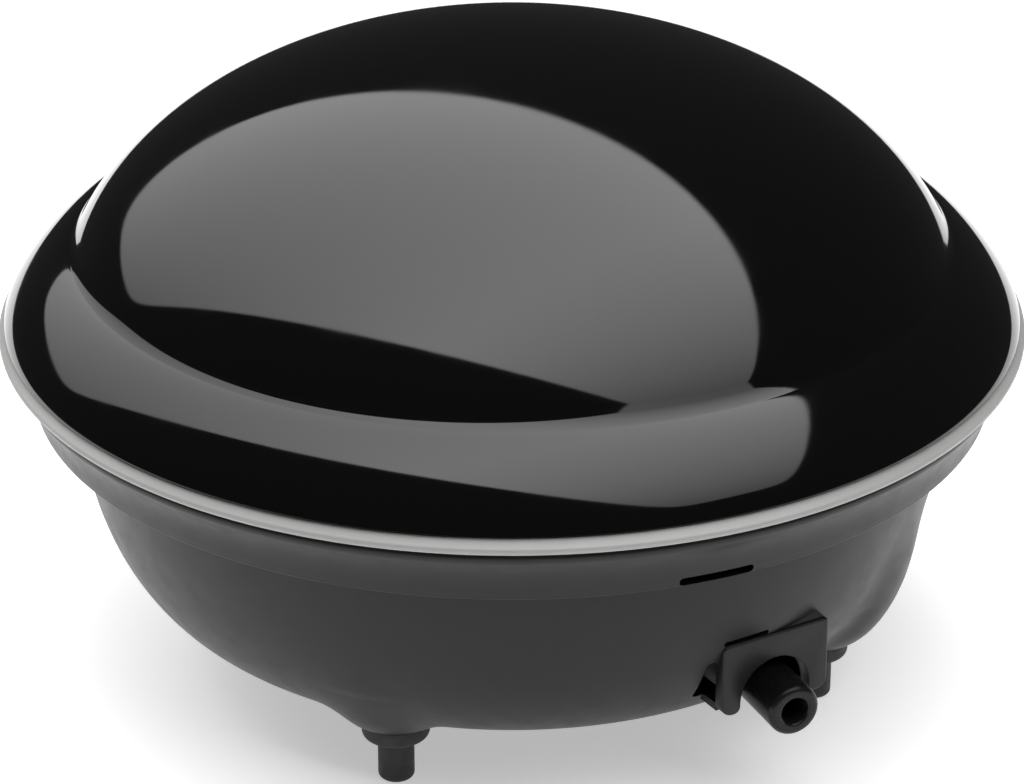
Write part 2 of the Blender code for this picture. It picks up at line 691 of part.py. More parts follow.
def make_feet():
    """Rubber feet: a thin stub to stand on, a wide flange and a plug in the leg."""
    flange_z = FOOT_STUB_HEIGHT
    flange_top_z = flange_z + FOOT_FLANGE_HEIGHT
    plug_radius = PLUG_BORE_RADIUS - GAP
    outline = [
        (0.0, 0.0),
        (FOOT_STUB_RADIUS - FOOT_EDGE, 0.0),
        (FOOT_STUB_RADIUS - FOOT_EDGE * 0.3, FOOT_EDGE * 0.3),
        (FOOT_STUB_RADIUS, FOOT_EDGE),
        (FOOT_STUB_RADIUS, flange_z),
        (FOOT_FLANGE_RADIUS - FOOT_EDGE, flange_z),
        (FOOT_FLANGE_RADIUS - FOOT_EDGE * 0.3, flange_z + FOOT_EDGE * 0.3),
        (FOOT_FLANGE_RADIUS, flange_z + FOOT_EDGE),
        (FOOT_FLANGE_RADIUS, flange_top_z),
        (plug_radius, flange_top_z),
        (plug_radius, flange_top_z + FOOT_PLUG_HEIGHT),
        (0.0, flange_top_z + FOOT_PLUG_HEIGHT),
    ]
    for corner, azimuth in FEET.items():
        foot = turned("foot_" + corner, outline, 16)
        foot.location = foot_point(azimuth, 0.0)
        finish(foot, RUBBER_BLACK, 0.6)


def screw(name, head_radius, head_height, radius, length):
    """Round-headed screw with a cross recess. The head's seat is at its origin, the shank goes down."""
    outline = [
        (0.0, head_height),
        (head_radius * 0.7, head_height),
        (head_radius, head_height * 0.5),
        (head_radius, 0.0),
        (radius, 0.0),
        (radius, -length),
        (0.0, -length),
    ]
    item = turned(name, outline, 12)
    depth = head_height * 0.45
    slot = head_radius * 0.28
    for size in ((head_radius * 1.1, slot, 2 * depth), (slot, head_radius * 1.1, 2 * depth)):
        cut(item, box("recess", size, (0.0, 0.0, head_height)))
    return item


def make_case_screws():
    """Screws that come up through the legs and pull the lid down."""
    for corner, azimuth in FEET.items():
        item = screw("case_screw_" + corner, case_screw_head_radius, CASE_SCREW_HEAD_HEIGHT,
                     CASE_SCREW_RADIUS, PILLAR_SEAT + GAP + CASE_SCREW_BITE)
        item.data.transform(Matrix.Rotation(math.pi, 4, "X"))
        item.location = foot_point(azimuth, screw_seat_z - GAP)
        finish(item, STEEL, 0.3, 1.0)


def make_filter():
    """Vented cap and the felt pad above it, in the middle of the underside."""
    cap_bottom = bowl_floor_z
    cap = upright_bar("filter_cap", FILTER_RADIUS, cap_bottom, cap_bottom + FILTER_CAP_HEIGHT, 48)
    for index in range(FILTER_SLOTS):
        low = (FILTER_RADIUS * 0.3, -FILTER_SLOT_WIDTH / 2, cap_bottom - WALL)
        high = (FILTER_RADIUS * 0.82, FILTER_SLOT_WIDTH / 2, cap_bottom + FILTER_CAP_HEIGHT + WALL)
        slot = span_box("slot", low, high)
        cut(cap, turn_to(slot, math.tau * index / FILTER_SLOTS))
    finish(cap, DARK_GREY, 0.5)
    pad_z = cap_bottom + FILTER_CAP_HEIGHT + GAP
    pad = upright_bar("filter_pad", FILTER_RADIUS - GAP, pad_z, pad_z + FILTER_PAD_HEIGHT, 32)
    finish(pad, CREAM, 0.95)


def make_outlet_nozzle():
    """Air nozzle that stands out through the arch, with a rounded tip and a thinner tail."""
    tip_y = nozzle_tip_y()
    shoulder = nozzle_block_y() - tip_y
    length = shoulder + NOZZLE_INNER_REACH
    outline = [
        (NOZZLE_BORE_RADIUS, 0.0),
        (NOZZLE_RADIUS - NOZZLE_EDGE, 0.0),
        (NOZZLE_RADIUS - NOZZLE_EDGE * 0.3, NOZZLE_EDGE * 0.3),
        (NOZZLE_RADIUS, NOZZLE_EDGE),
        (NOZZLE_RADIUS, shoulder),
        (NOZZLE_TAIL_RADIUS, shoulder),
        (NOZZLE_TAIL_RADIUS, length),
        (NOZZLE_BORE_RADIUS, length),
    ]
    nozzle = turned("outlet_nozzle", outline, 24)
    nozzle.data.transform(Matrix.Rotation(-math.pi / 2, 4, "X"))
    nozzle.location = (NOZZLE_X, tip_y, nozzle_z)
    finish(nozzle, BLACK_GLOSS, 0.25)


def chamber_port():
    """Middle of the outlet port on the valve box's front face."""
    return Vector((VALVE_OFFSET, chamber_y - CHAMBER_WIDTH / 2, (chamber_z + web_bottom_z) / 2))


def bent_path(start, start_direction, end, end_direction, steps):
    """Smooth path between two points that leaves each one in its own direction."""
    reach = (end - start).length / 2
    first = start + start_direction * reach
    second = end + end_direction * reach
    path = []
    for step in arc_steps(0.0, 1.0, steps):
        rest = 1.0 - step
        path.append(rest ** 3 * start + 3 * rest ** 2 * step * first
                    + 3 * rest * step ** 2 * second + step ** 3 * end)
    return path


def make_outlet_tube():
    """Short soft tube from the valve box to the nozzle's tail."""
    inner = tube_radius - TUBE_WALL
    outer = tube_radius
    inwards = Vector((0.0, 1.0, 0.0))
    tail_start = Vector((NOZZLE_X, nozzle_block_y() + GAP, nozzle_z))
    tail_end = tail_start + NOZZLE_INNER_REACH * inwards
    start = chamber_port() - GAP * inwards
    path = bent_path(start, -inwards, tail_end, inwards, 8)
    path.append(tail_start)
    directions = [-inwards]
    directions += [(after - before).normalized() for before, after in zip(path, path[2:-1])]
    directions += [-inwards, -inwards]
    side_count = 12
    bm = bmesh.new()
    outer_loops = []
    inner_loops = []
    for centre, direction in zip(path, directions):
        side = direction.cross(Vector((0.0, 0.0, 1.0))).normalized()
        up = side.cross(direction)
        spokes = []
        for index in range(side_count):
            angle = math.tau * index / side_count
            spokes.append(side * math.cos(angle) + up * math.sin(angle))
        outer_loops.append([bm.verts.new(centre + outer * spoke) for spoke in spokes])
        inner_loops.append([bm.verts.new(centre + inner * spoke) for spoke in spokes])
    round_trip = outer_loops + inner_loops[::-1] + [outer_loops[0]]
    for loop, next_loop in zip(round_trip, round_trip[1:]):
        for index in range(side_count):
            following = (index + 1) % side_count
            bm.faces.new((loop[index], loop[following], next_loop[following], next_loop[index]))
    finish(make_object("outlet_tube", bm), RUBBER_BLACK, 0.7)


def make_cord_gland():
    """Rubber grommet in the rear wall, where the mains cord goes in."""
    pad_inner, pad_outer = gland_pad_faces()
    half = (pad_outer - pad_inner) / 2 + GAP
    outline = [
        (GLAND_BORE_RADIUS, -half - GLAND_FLANGE),
        (GLAND_FLANGE_RADIUS - GAP, -half - GLAND_FLANGE),
        (GLAND_FLANGE_RADIUS, -half - GLAND_FLANGE / 2),
        (GLAND_FLANGE_RADIUS, -half),
        (GLAND_NECK_RADIUS, -half),
        (GLAND_NECK_RADIUS, half),
        (GLAND_FLANGE_RADIUS, half),
        (GLAND_FLANGE_RADIUS, half + GLAND_FLANGE / 2),
        (GLAND_FLANGE_RADIUS - GAP, half + GLAND_FLANGE),
        (GLAND_BORE_RADIUS, half + GLAND_FLANGE),
    ]
    gland = turned("cord_gland", outline, 20)
    gland.data.transform(Matrix.Rotation(-math.pi / 2, 4, "X"))
    gland.location = (0.0, (pad_inner + pad_outer) / 2, gland_z)
    finish(gland, RUBBER_BLACK, 0.6)


# ---------------------------------------------------------------- valve box and diaphragm

def chamber_block(name, bottom, top):
    """Square block over the valve box's outline with the four screw holes through it."""
    half = CHAMBER_WIDTH / 2
    low = (-half, chamber_y - half, bottom)
    high = (half, chamber_y + half, top)
    block = span_box(name, low, high, CHAMBER_ROUNDING)
    side = half - CHAMBER_SCREW_INSET
    for x in (-side, side):
        for y in (-side, side):
            low = (x, chamber_y + y, bottom - WALL)
            cut(block, rod("hole", SMALL_SCREW_RADIUS + GAP, low, (x, chamber_y + y, top + WALL), 12))
    return block


def valve_pockets(bottom, top):
    """The intake and exhaust pockets side by side under the web, clear of the screws."""
    pockets = []
    half_width = VALVE_OFFSET - WALL / 2
    half_length = CHAMBER_WIDTH / 2 - 2 * CHAMBER_SCREW_INSET
    for x in (-VALVE_OFFSET, VALVE_OFFSET):
        low = (x - half_width, chamber_y - half_length, bottom)
        pockets.append(span_box("pocket", low, (x + half_width, chamber_y + half_length, top)))
    return pockets


def make_valve_box():
    """Cover, gasket and body of the valve box."""
    cover = chamber_block("valve_cover", valve_cover_z, valve_cover_z + VALVE_COVER_HEIGHT)
    cut(cover, rod("intake", 2 * VALVE_HOLE_RADIUS, (-VALVE_OFFSET, chamber_y, valve_cover_z - WALL),
                   (-VALVE_OFFSET, chamber_y, gasket_z)))
    finish(cover, CREAM, 0.5)

    gasket = chamber_block("valve_gasket", gasket_z, gasket_z + GASKET_HEIGHT)
    cut(gasket, *valve_pockets(gasket_z - WALL, chamber_z))
    finish(gasket, RUBBER_BLACK, 0.7)

    body = chamber_block("chamber_body", chamber_z, chamber_top_z)
    cut(body, *valve_pockets(chamber_z - WALL, web_bottom_z))
    cut(body, rod("pump_cavity", DIAPHRAGM_RADIUS - WALL / 2, (0, chamber_y, web_top_z),
                  (0, chamber_y, chamber_top_z + WALL), 32))
    for x in (-VALVE_OFFSET, VALVE_OFFSET):
        cut(body, rod("valve_hole", VALVE_HOLE_RADIUS, (x, chamber_y, web_bottom_z - WALL),
                      (x, chamber_y, web_top_z + WALL), 16))
    port = chamber_port()
    cut(body, rod("port", NOZZLE_BORE_RADIUS, port + Vector((0, -WALL, 0)),
                  port + Vector((0, CHAMBER_WIDTH / 3, 0)), 16))
    finish(body, CREAM, 0.5)


def make_flap(name, x, bottom):
    """Thin rubber flap over one valve hole, hinged along its front edge."""
    hinge_y = chamber_y - FLAP_LENGTH / 2
    low = (x - FLAP_WIDTH / 2, hinge_y, bottom)
    high = (x + FLAP_WIDTH / 2, hinge_y + FLAP_LENGTH, bottom + FLAP_THICKNESS)
    flap = put_origin(span_box(name, low, high, SMALL_ROUNDING), (x, hinge_y, bottom + FLAP_THICKNESS / 2))
    finish(flap, RUBBER_BLACK, 0.7)


def make_flaps():
    """Intake flap inside the pump cavity and exhaust flap under the web."""
    make_flap("intake_flap", -VALVE_OFFSET, web_top_z + GAP)
    make_flap("exhaust_flap", VALVE_OFFSET, web_bottom_z - GAP - FLAP_THICKNESS)


def make_diaphragm():
    """Rubber cup that the arm lifts and lowers."""
    skin = DIAPHRAGM_SKIN
    shoulder_z = diaphragm_top_z - 4 * GAP
    shoulder = DIAPHRAGM_RADIUS - WALL - GAP
    outline = [
        (DIAPHRAGM_RADIUS, diaphragm_z),
        (DIAPHRAGM_RADIUS, diaphragm_z + DIAPHRAGM_RIM),
        (shoulder, diaphragm_z + DIAPHRAGM_RIM),
        (shoulder - skin, shoulder_z),
        (HUB_RADIUS + 2 * GAP, diaphragm_top_z - skin / 2),
        (HUB_RADIUS, diaphragm_top_z),
        (0.0, diaphragm_top_z),
        (0.0, diaphragm_top_z - skin),
        (HUB_RADIUS, diaphragm_top_z - skin),
        (shoulder - 2 * skin, shoulder_z - skin),
        (shoulder - skin, diaphragm_z),
    ]
    cup = move_shape(turned("diaphragm", outline, 24), (0.0, chamber_y, 0.0))
    finish(cup, RUBBER_BLACK, 0.6)


def make_clamp_ring():
    """Plate that holds the diaphragm's rim down on the valve box."""
    clamp = chamber_block("clamp_ring", clamp_z, clamp_top_z)
    cut(clamp, rod("opening", DIAPHRAGM_RADIUS - WALL + GAP, (0, chamber_y, clamp_z - WALL),
                   (0, chamber_y, clamp_top_z + WALL), 32))
    finish(clamp, CREAM, 0.5)


def make_chamber_screws():
    """Long screws through the whole valve box into the posts of the base."""
    side = CHAMBER_WIDTH / 2 - CHAMBER_SCREW_INSET
    length = clamp_top_z + GAP - chamber_stand_z + SMALL_SCREW_BITE
    corners = [(x, y) for x in (-side, side) for y in (-side, side)]
    for index, (x, y) in enumerate(corners, 1):
        item = screw("chamber_screw_%d" % index, SMALL_SCREW_HEAD_RADIUS, SMALL_SCREW_HEAD_HEIGHT,
                     SMALL_SCREW_RADIUS, length)
        item.location = (x, chamber_y + y, clamp_top_z + GAP)
        finish(item, STEEL, 0.3, 1.0)


# ---------------------------------------------------------------- rocking arm

def make_lever_arm():
    """Plastic arm that rocks on the pin, with a saddle for the magnet at its far end."""
    front = chamber_y - HUB_RADIUS - WALL / 2
    half = ARM_WIDTH / 2
    magnet_half = MAGNET_SIZE[2] / 2
    back = magnet_near_y - GAP
    arm = span_box("lever_arm", (-half, front, arm_z), (half, back, arm_top_z))
    boss_half = half + GAP / 2
    plate_half = MAGNET_SIZE[0] / 2
    boss = rod("boss", PIN_RADIUS + WALL, (-boss_half, pivot_y, pivot_z), (boss_half, pivot_y, pivot_z))
    plate = span_box("plate", (-plate_half, back - WALL, pivot_z - magnet_half),
                     (plate_half, back + GAP / 3, pivot_z + magnet_half))
    join(arm, boss, plate)
    cut(arm, rod("pin_hole", PIN_RADIUS + PIN_CLEARANCE, (-ARM_WIDTH, pivot_y, pivot_z),
                 (ARM_WIDTH, pivot_y, pivot_z)))
    cut(arm, rod("hub_hole", SMALL_SCREW_RADIUS + GAP, (0, chamber_y, arm_z - WALL),
                 (0, chamber_y, arm_top_z + WALL), 12))
    finish(put_origin(arm, (0.0, pivot_y, pivot_z)), CREAM, 0.45)


def make_hub():
    """Plate between the arm and the diaphragm, and the screw that holds it."""
    hub = rod("diaphragm_hub", HUB_RADIUS, (0, chamber_y, hub_z), (0, chamber_y, hub_z + HUB_HEIGHT))
    depth = SMALL_SCREW_RADIUS + GAP
    cut(hub, rod("hole", depth, (0, chamber_y, hub_z + 2 * GAP), (0, chamber_y, arm_z + WALL), 12))
    finish(hub, CREAM, 0.45)
    item = screw("hub_screw", SMALL_SCREW_HEAD_RADIUS, SMALL_SCREW_HEAD_HEIGHT, SMALL_SCREW_RADIUS,
                 arm_top_z + GAP - hub_z - 3 * GAP)
    item.location = (0.0, chamber_y, arm_top_z + GAP)
    finish(item, STEEL, 0.3, 1.0)


def make_magnet():
    """Block magnet on the end of the arm, in front of the poles."""
    width, depth, height = MAGNET_SIZE
    low = (-width / 2, magnet_near_y, pivot_z - height / 2)
    high = (width / 2, magnet_near_y + depth, pivot_z + height / 2)
    magnet = span_box("magnet", low, high, MAGNET_ROUNDING)
    finish(magnet, (0.09, 0.09, 0.1), 0.45, 0.6)


def make_pivot():
    """Steel pin and the bracket that carries it."""
    pin_half = PIN_LENGTH / 2
    pin = rod("pivot_pin", PIN_RADIUS, (-pin_half, pivot_y, pivot_z), (pin_half, pivot_y, pivot_z))
    finish(pin, STEEL, 0.2, 1.0)

    inner = ARM_WIDTH / 2 + CHEEK_PLAY
    outer = inner + CHEEK_THICKNESS
    half_depth = PIN_RADIUS + WALL
    foot_z = chamber_stand_z + GAP
    bracket = span_box("pivot_bracket", (-foot_half, pivot_y - half_depth, foot_z),
                       (foot_half, pivot_y + half_depth, foot_z + WALL), SMALL_ROUNDING)
    for side in (-1, 1):
        cheek = box("cheek", (CHEEK_THICKNESS, 2 * half_depth, pivot_z - foot_z),
                    (side * (inner + outer) / 2, pivot_y, (pivot_z + foot_z) / 2))
        top = rod("top", half_depth, (side * inner, pivot_y, pivot_z), (side * outer, pivot_y, pivot_z))
        join(bracket, cheek, top)
        x = side * foot_hole_x
        cut(bracket, rod("hole", SMALL_SCREW_RADIUS + GAP, (x, pivot_y, foot_z - WALL),
                         (x, pivot_y, foot_z + 2 * WALL), 12))
    cut(bracket, rod("pin_hole", PIN_RADIUS + GAP, (-PIN_LENGTH, pivot_y, pivot_z),
                     (PIN_LENGTH, pivot_y, pivot_z)))
    finish(bracket, CREAM, 0.5)
    make_foot_screws("pivot_bracket_screw", pivot_y, foot_z + WALL)


def make_foot_screws(name, y, top):
    """Two screws through a bracket's foot into the posts under it."""
    length = WALL + 2 * GAP + SMALL_SCREW_BITE
    for side, word in ((-1, "_left"), (1, "_right")):
        item = screw(name + word, SMALL_SCREW_HEAD_RADIUS, SMALL_SCREW_HEAD_HEIGHT,
                     SMALL_SCREW_RADIUS, length)
        item.location = (side * foot_hole_x, y, top + GAP)
        finish(item, STEEL, 0.3, 1.0)


# ---------------------------------------------------------------- electromagnet

def make_core():
    """E-shaped stack of laminations, its rivets and its cradle."""
    half = CORE_WIDTH / 2
    top_z = core_bottom_z + CORE_HEIGHT
    core = span_box("core_lamination", (-half, core_y, core_bottom_z), (half, core_back_y, top_z))
    middle = MIDDLE_POLE_HEIGHT / 2
    window_back = core_back_y - CORE_YOKE
    windows = [
        (core_bottom_z + POLE_HEIGHT, pivot_z - middle),
        (pivot_z + middle, top_z - POLE_HEIGHT),
    ]
    for low, high in windows:
        cut(core, span_box("window", (-CORE_WIDTH, core_y - WALL, low), (CORE_WIDTH, window_back, high)))
    rivet_y = core_back_y - CORE_YOKE / 2
    rivet_zs = {"lower": core_bottom_z + CORE_YOKE, "upper": top_z - CORE_YOKE}
    for height in rivet_zs.values():
        cut(core, cross_bar("hole", RIVET_RADIUS + GAP, -CORE_WIDTH, CORE_WIDTH, rivet_y, height))
    finish(core, (0.32, 0.32, 0.34), 0.4, 1.0)

    cheek_x = half + GAP + CRADLE_THICKNESS / 2
    cradle = span_box("core_cradle", (-foot_half, core_y + CORE_LENGTH / 4, cradle_z),
                      (foot_half, core_back_y, cradle_z + CRADLE_THICKNESS))
    cheek_height = CORE_HEIGHT - WALL + core_bottom_z - cradle_z
    for side in (-1, 1):
        cheek = box("cheek", (CRADLE_THICKNESS, CORE_YOKE, cheek_height),
                    (side * cheek_x, core_back_y - CORE_YOKE / 2, cradle_z + cheek_height / 2))
        join(cradle, cheek)
        x = side * foot_hole_x
        cut(cradle, rod("hole", SMALL_SCREW_RADIUS + GAP, (x, core_y + CORE_LENGTH / 2, cradle_z - WALL),
                        (x, core_y + CORE_LENGTH / 2, cradle_z + 2 * WALL), 12))
    for height in rivet_zs.values():
        cut(cradle, cross_bar("hole", RIVET_RADIUS + GAP, -CORE_WIDTH, CORE_WIDTH, rivet_y, height))
    finish(cradle, STEEL, 0.35, 1.0)
    make_foot_screws("core_cradle_screw", core_y + CORE_LENGTH / 2, cradle_z + CRADLE_THICKNESS)

    reach = half + 3 * GAP + CRADLE_THICKNESS
    for word, height in rivet_zs.items():
        rivet = cross_bar("core_rivet_" + word, RIVET_RADIUS, -reach, reach, rivet_y, height)
        for side in (-1, 1):
            join(rivet, cross_bar("head", 1.7 * RIVET_RADIUS, side * (reach - GAP / 2),
                                  side * (reach + RIVET_HEAD_HEIGHT), rivet_y, height))
        finish(rivet, STEEL, 0.3, 1.0)


def square_ring(name, front, back, hole, outside, rounding=0.0):
    """Rectangular ring round the middle pole, between two values of Y."""
    middle = (0.0, 0.0, (front + back) / 2)
    ring = box(name, (2 * outside[0], 2 * outside[1], back - front), middle, rounding)
    cut(ring, box("hole", (2 * hole[0], 2 * hole[1], back - front + 2 * WALL), middle))
    ring.data.transform(Matrix.Rotation(-math.pi / 2, 4, "X"))
    return move_shape(ring, (0.0, 0.0, pivot_z))


def make_coil():
    """Bobbin on the middle pole and the copper wound on it."""
    hole = (CORE_WIDTH / 2 + GAP, MIDDLE_POLE_HEIGHT / 2 + GAP)
    tube = (hole[0] + BOBBIN_WALL, hole[1] + BOBBIN_WALL)
    window = CORE_HEIGHT / 2 - POLE_HEIGHT
    flange = (tube[0] + window - tube[1] - GAP, window - GAP)
    front = core_y + GAP
    back = core_back_y - CORE_YOKE - GAP
    bobbin = square_ring("coil_bobbin", front, back, hole, tube)
    join(bobbin,
         square_ring("front_flange", front, front + BOBBIN_WALL, hole, flange),
         square_ring("back_flange", back - BOBBIN_WALL, back, hole, flange))
    finish(bobbin, CREAM, 0.5)
    inside = (tube[0] + GAP, tube[1] + GAP)
    outside = (flange[0] - 2 * GAP, flange[1] - 2 * GAP)
    winding_front = front + BOBBIN_WALL + GAP
    winding_back = back - BOBBIN_WALL - GAP
    winding = square_ring("coil_winding", winding_front, winding_back, inside, outside, WINDING_ROUNDING)
    finish(winding, COPPER, 0.35, 1.0)


def build():
    """Make every piece."""
    clear_scene()
    make_top_cover()
    make_trim_ring()
    make_base_housing()
    make_feet()
    make_case_screws()
    make_filter()
    make_outlet_nozzle()
    make_outlet_tube()
    make_cord_gland()
    make_valve_box()
    make_flaps()
    make_diaphragm()
    make_clamp_ring()
    make_chamber_screws()
    make_lever_arm()
    make_hub()
    make_magnet()
    make_pivot()
    make_core()
    make_coil()


build()
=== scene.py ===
# %% [markdown]
# # An air pump, seen from a little above
# This lesson dresses a finished CAD model. The CAD parts are loaded as a fixed frame that already has the
# right sizes and joints. What is left to do is what the eye judges: smooth round forms, soft edges and
# materials. Each step first says what the real piece is, then how it can be made, and why it is made so.

# %% Load the frame
import math

import bpy
from mathutils import Matrix, Vector
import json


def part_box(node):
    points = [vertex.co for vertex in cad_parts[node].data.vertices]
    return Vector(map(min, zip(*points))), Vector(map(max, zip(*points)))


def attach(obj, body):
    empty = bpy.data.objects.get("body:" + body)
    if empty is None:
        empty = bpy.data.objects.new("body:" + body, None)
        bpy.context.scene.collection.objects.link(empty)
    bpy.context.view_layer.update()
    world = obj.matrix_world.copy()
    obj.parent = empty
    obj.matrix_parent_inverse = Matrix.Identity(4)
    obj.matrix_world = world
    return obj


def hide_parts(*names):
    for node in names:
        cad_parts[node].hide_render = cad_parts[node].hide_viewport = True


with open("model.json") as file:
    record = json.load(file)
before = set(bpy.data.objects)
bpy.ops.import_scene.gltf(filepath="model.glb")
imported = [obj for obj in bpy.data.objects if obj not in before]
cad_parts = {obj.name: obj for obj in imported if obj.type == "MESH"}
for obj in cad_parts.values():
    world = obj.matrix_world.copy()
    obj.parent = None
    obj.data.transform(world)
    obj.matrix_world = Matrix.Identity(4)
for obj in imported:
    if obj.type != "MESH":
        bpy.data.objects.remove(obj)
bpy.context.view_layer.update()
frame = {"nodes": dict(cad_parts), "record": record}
MM = 0.001

# %% [markdown]
# ## Where things are
# Every place comes from the frame, so nothing has to be fitted afterwards. The lid's edge, the ring, the
# feet and the nozzle are read from the boxes of their CAD nodes. Only sizes that a box can't tell, such as
# how round a curve is, are written down here.

# %% Sizes from the frame
ring_low, ring_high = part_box("trim_ring")
lid_low, lid_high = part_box("top_cover")
base_low, base_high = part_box("base_housing")
GAP = 0.3 * MM
rim_radius = lid_high.x
ring_radius = ring_high.x
rim_z = ring_high.z + GAP
base_top_z = base_high.z
leg_end_z = base_low.z
filter_low, filter_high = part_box("filter_cap")
bowl_floor_z = filter_low.z
print("rim radius", round(rim_radius, 4), "rim height", round(rim_z, 4))
print("bowl floor", round(bowl_floor_z, 4))

# %% [markdown]
# ## The camera
# The pump is seen through a long lens from well above the rim, so its round edges stay close to true
# ellipses. The camera's distance is given in lid radii, so that it steps back from a larger pump. It looks
# at a point a little under the middle of the lid's edge.

# %% Camera
VIEW_AZIMUTH = math.radians(-113.9)
VIEW_ELEVATION = math.radians(24.83)
VIEW_PITCH = math.radians(26.15)
view_distance = 8.0 * rim_radius


def round_point(radius, azimuth, height):
    """Point at a radius and azimuth round the pump's axis."""
    return Vector((radius * math.cos(azimuth), radius * math.sin(azimuth), height))


camera_data = bpy.data.cameras.new("camera")
camera_data.lens = 141.95
camera_data.sensor_width = 36.0
camera = bpy.data.objects.new("camera", camera_data)
bpy.context.scene.collection.objects.link(camera)
camera.location = round_point(
    view_distance * math.cos(VIEW_ELEVATION), VIEW_AZIMUTH, rim_z + view_distance * math.sin(VIEW_ELEVATION)
)
camera.rotation_euler = (math.pi / 2 - VIEW_PITCH, 0.0, VIEW_AZIMUTH + math.pi / 2)
bpy.context.scene.camera = camera
print("camera at", [round(value, 3) for value in camera.location])

# %% [markdown]
# ## Floor and light
# Glossy black plastic has almost no colour of its own. What makes it look glossy is the shape of the lamp
# mirrored in it, so the main lamp is one long softbox that leans over the pump from its right front to its
# left back. Around it the room is dark, which keeps the rest of the lid black. The floor is pale, and what
# it throws back lights the bowl from below.

# %% Stage
FLOOR_RADIUS = 0.38


def deselect():
    """Let go of everything that is selected."""
    bpy.ops.object.select_all(action="DESELECT")


deselect()
bpy.ops.mesh.primitive_circle_add(vertices=96, radius=FLOOR_RADIUS, fill_type="NGON", location=(0, 0, 0))
floor = bpy.context.object
floor.name = "studio_floor"
floor_material = bpy.data.materials.new("studio_floor")
floor_material.use_nodes = True
floor_shader = floor_material.node_tree.nodes["Principled BSDF"]
floor_shader.inputs["Base Color"].default_value = (0.86, 0.86, 0.86, 1.0)
floor_shader.inputs["Roughness"].default_value = 0.9
floor_shader.inputs["Specular IOR Level"].default_value = 0.0
floor_shader.inputs["Emission Color"].default_value = (1.0, 1.0, 1.0, 1.0)
floor_shader.inputs["Emission Strength"].default_value = 0.45
floor.data.materials.append(floor_material)


def lamp(name, centre, along, across, length, width, radiance):
    """Flat lamp given by its middle, the directions of its sides, its size and its brightness."""
    data = bpy.data.lights.new(name, "AREA")
    data.shape = "RECTANGLE"
    data.size = length
    data.size_y = width
    data.energy = radiance * math.pi * length * width
    item = bpy.data.objects.new(name, data)
    bpy.context.scene.collection.objects.link(item)
    along = Vector(along).normalized()
    across = Vector(across)
    across = (across - along * across.dot(along)).normalized()
    facing = along.cross(across)
    if facing.z < 0.0:
        across = -across
        facing = -facing
    turn = Matrix((along, across, facing)).transposed().to_4x4()
    item.matrix_world = Matrix.Translation(centre) @ turn
    return item


def from_view(vector):
    """Turn a vector given as (right, away, up) of the camera into the pump's own axes."""
    return Matrix.Rotation(VIEW_AZIMUTH + math.pi / 2, 3, "Z") @ Vector(vector)


def fade_to_the_ends(item, fade, corner):
    """Make a lamp brightest in its middle, dimmer to both ends, and round at its corners."""
    item.data.use_nodes = True
    tree = item.data.node_tree

    def math_node(operation, *values):
        node = tree.nodes.new("ShaderNodeMath")
        node.operation = operation
        for socket, value in zip(node.inputs, values):
            if isinstance(value, bpy.types.NodeSocket):
                tree.links.new(value, socket)
            else:
                socket.default_value = value
        return node.outputs["Value"]

    place = tree.nodes.new("ShaderNodeSeparateXYZ")
    tree.links.new(tree.nodes.new("ShaderNodeNewGeometry").outputs["Parametric"], place.inputs["Vector"])
    along = math_node("ABSOLUTE", math_node("MULTIPLY_ADD", place.outputs["X"], 2.0, -1.0))
    across = math_node("ABSOLUTE", math_node("MULTIPLY_ADD", place.outputs["Y"], 2.0, -1.0))
    middle = math_node("DIVIDE", 1.0, math_node("MULTIPLY_ADD", math_node("POWER", along, 1.5), fade, 1.0))
    outline = math_node("ADD", math_node("POWER", along, corner), math_node("POWER", across, corner))
    edge = tree.nodes.new("ShaderNodeMapRange")
    edge.interpolation_type = "SMOOTHSTEP"
    for key, number in (("From Min", 1.0), ("From Max", 0.72), ("To Min", 0.0), ("To Max", 1.0)):
        edge.inputs[key].default_value = number
    tree.links.new(outline, edge.inputs["Value"])
    brightness = math_node("MULTIPLY", middle, edge.outputs["Result"])
    tree.links.new(brightness, tree.nodes["Emission"].inputs["Strength"])


SOFTBOX_HEIGHT = 0.636
softbox_middle = from_view((0.064, -0.104, SOFTBOX_HEIGHT)) + Vector((0.0, 0.0, rim_z))
softbox = lamp("softbox", softbox_middle, from_view((0.766, -0.617, 0.197)),
               from_view((0.817, 0.568, -0.099)), 3.4, 0.87, 3.8)
fade_to_the_ends(softbox, 2.5, 7.0)

world = bpy.data.worlds.new("studio")
bpy.context.scene.world = world
world.use_nodes = True
room = world.node_tree.nodes["Background"]
room.inputs["Color"].default_value = (0.035, 0.035, 0.035, 1.0)
backdrop = world.node_tree.nodes.new("ShaderNodeBackground")
backdrop.inputs["Color"].default_value = (0.9, 0.9, 0.9, 1.0)
seen_directly = world.node_tree.nodes.new("ShaderNodeLightPath").outputs["Is Camera Ray"]
either = world.node_tree.nodes.new("ShaderNodeMixShader")
world.node_tree.links.new(seen_directly, either.inputs["Fac"])
world.node_tree.links.new(room.outputs["Background"], either.inputs[1])
world.node_tree.links.new(backdrop.outputs["Background"], either.inputs[2])
world.node_tree.links.new(either.outputs["Shader"], world.node_tree.nodes["World Output"].inputs["Surface"])
bpy.context.scene.view_settings.view_transform = "Standard"
print("softbox brightness", round(softbox.data.energy, 1), "W")

# %% [markdown]
# ## Working by hand, in code
# The pieces are made with the same operators as in Blender's menus. A few short helpers keep the steps
# readable: one starts editing an object, one turns an outline on a lathe, one finishes a piece. An operator
# acts on everything that is selected, so each helper starts by letting go of what was selected before.

# %% Lathe
def enter_edit(item):
    """Make an object the only one selected and start editing it."""
    deselect()
    bpy.context.view_layer.objects.active = item
    item.select_set(True)
    bpy.ops.object.mode_set(mode="EDIT")
    bpy.ops.mesh.select_all(action="SELECT")


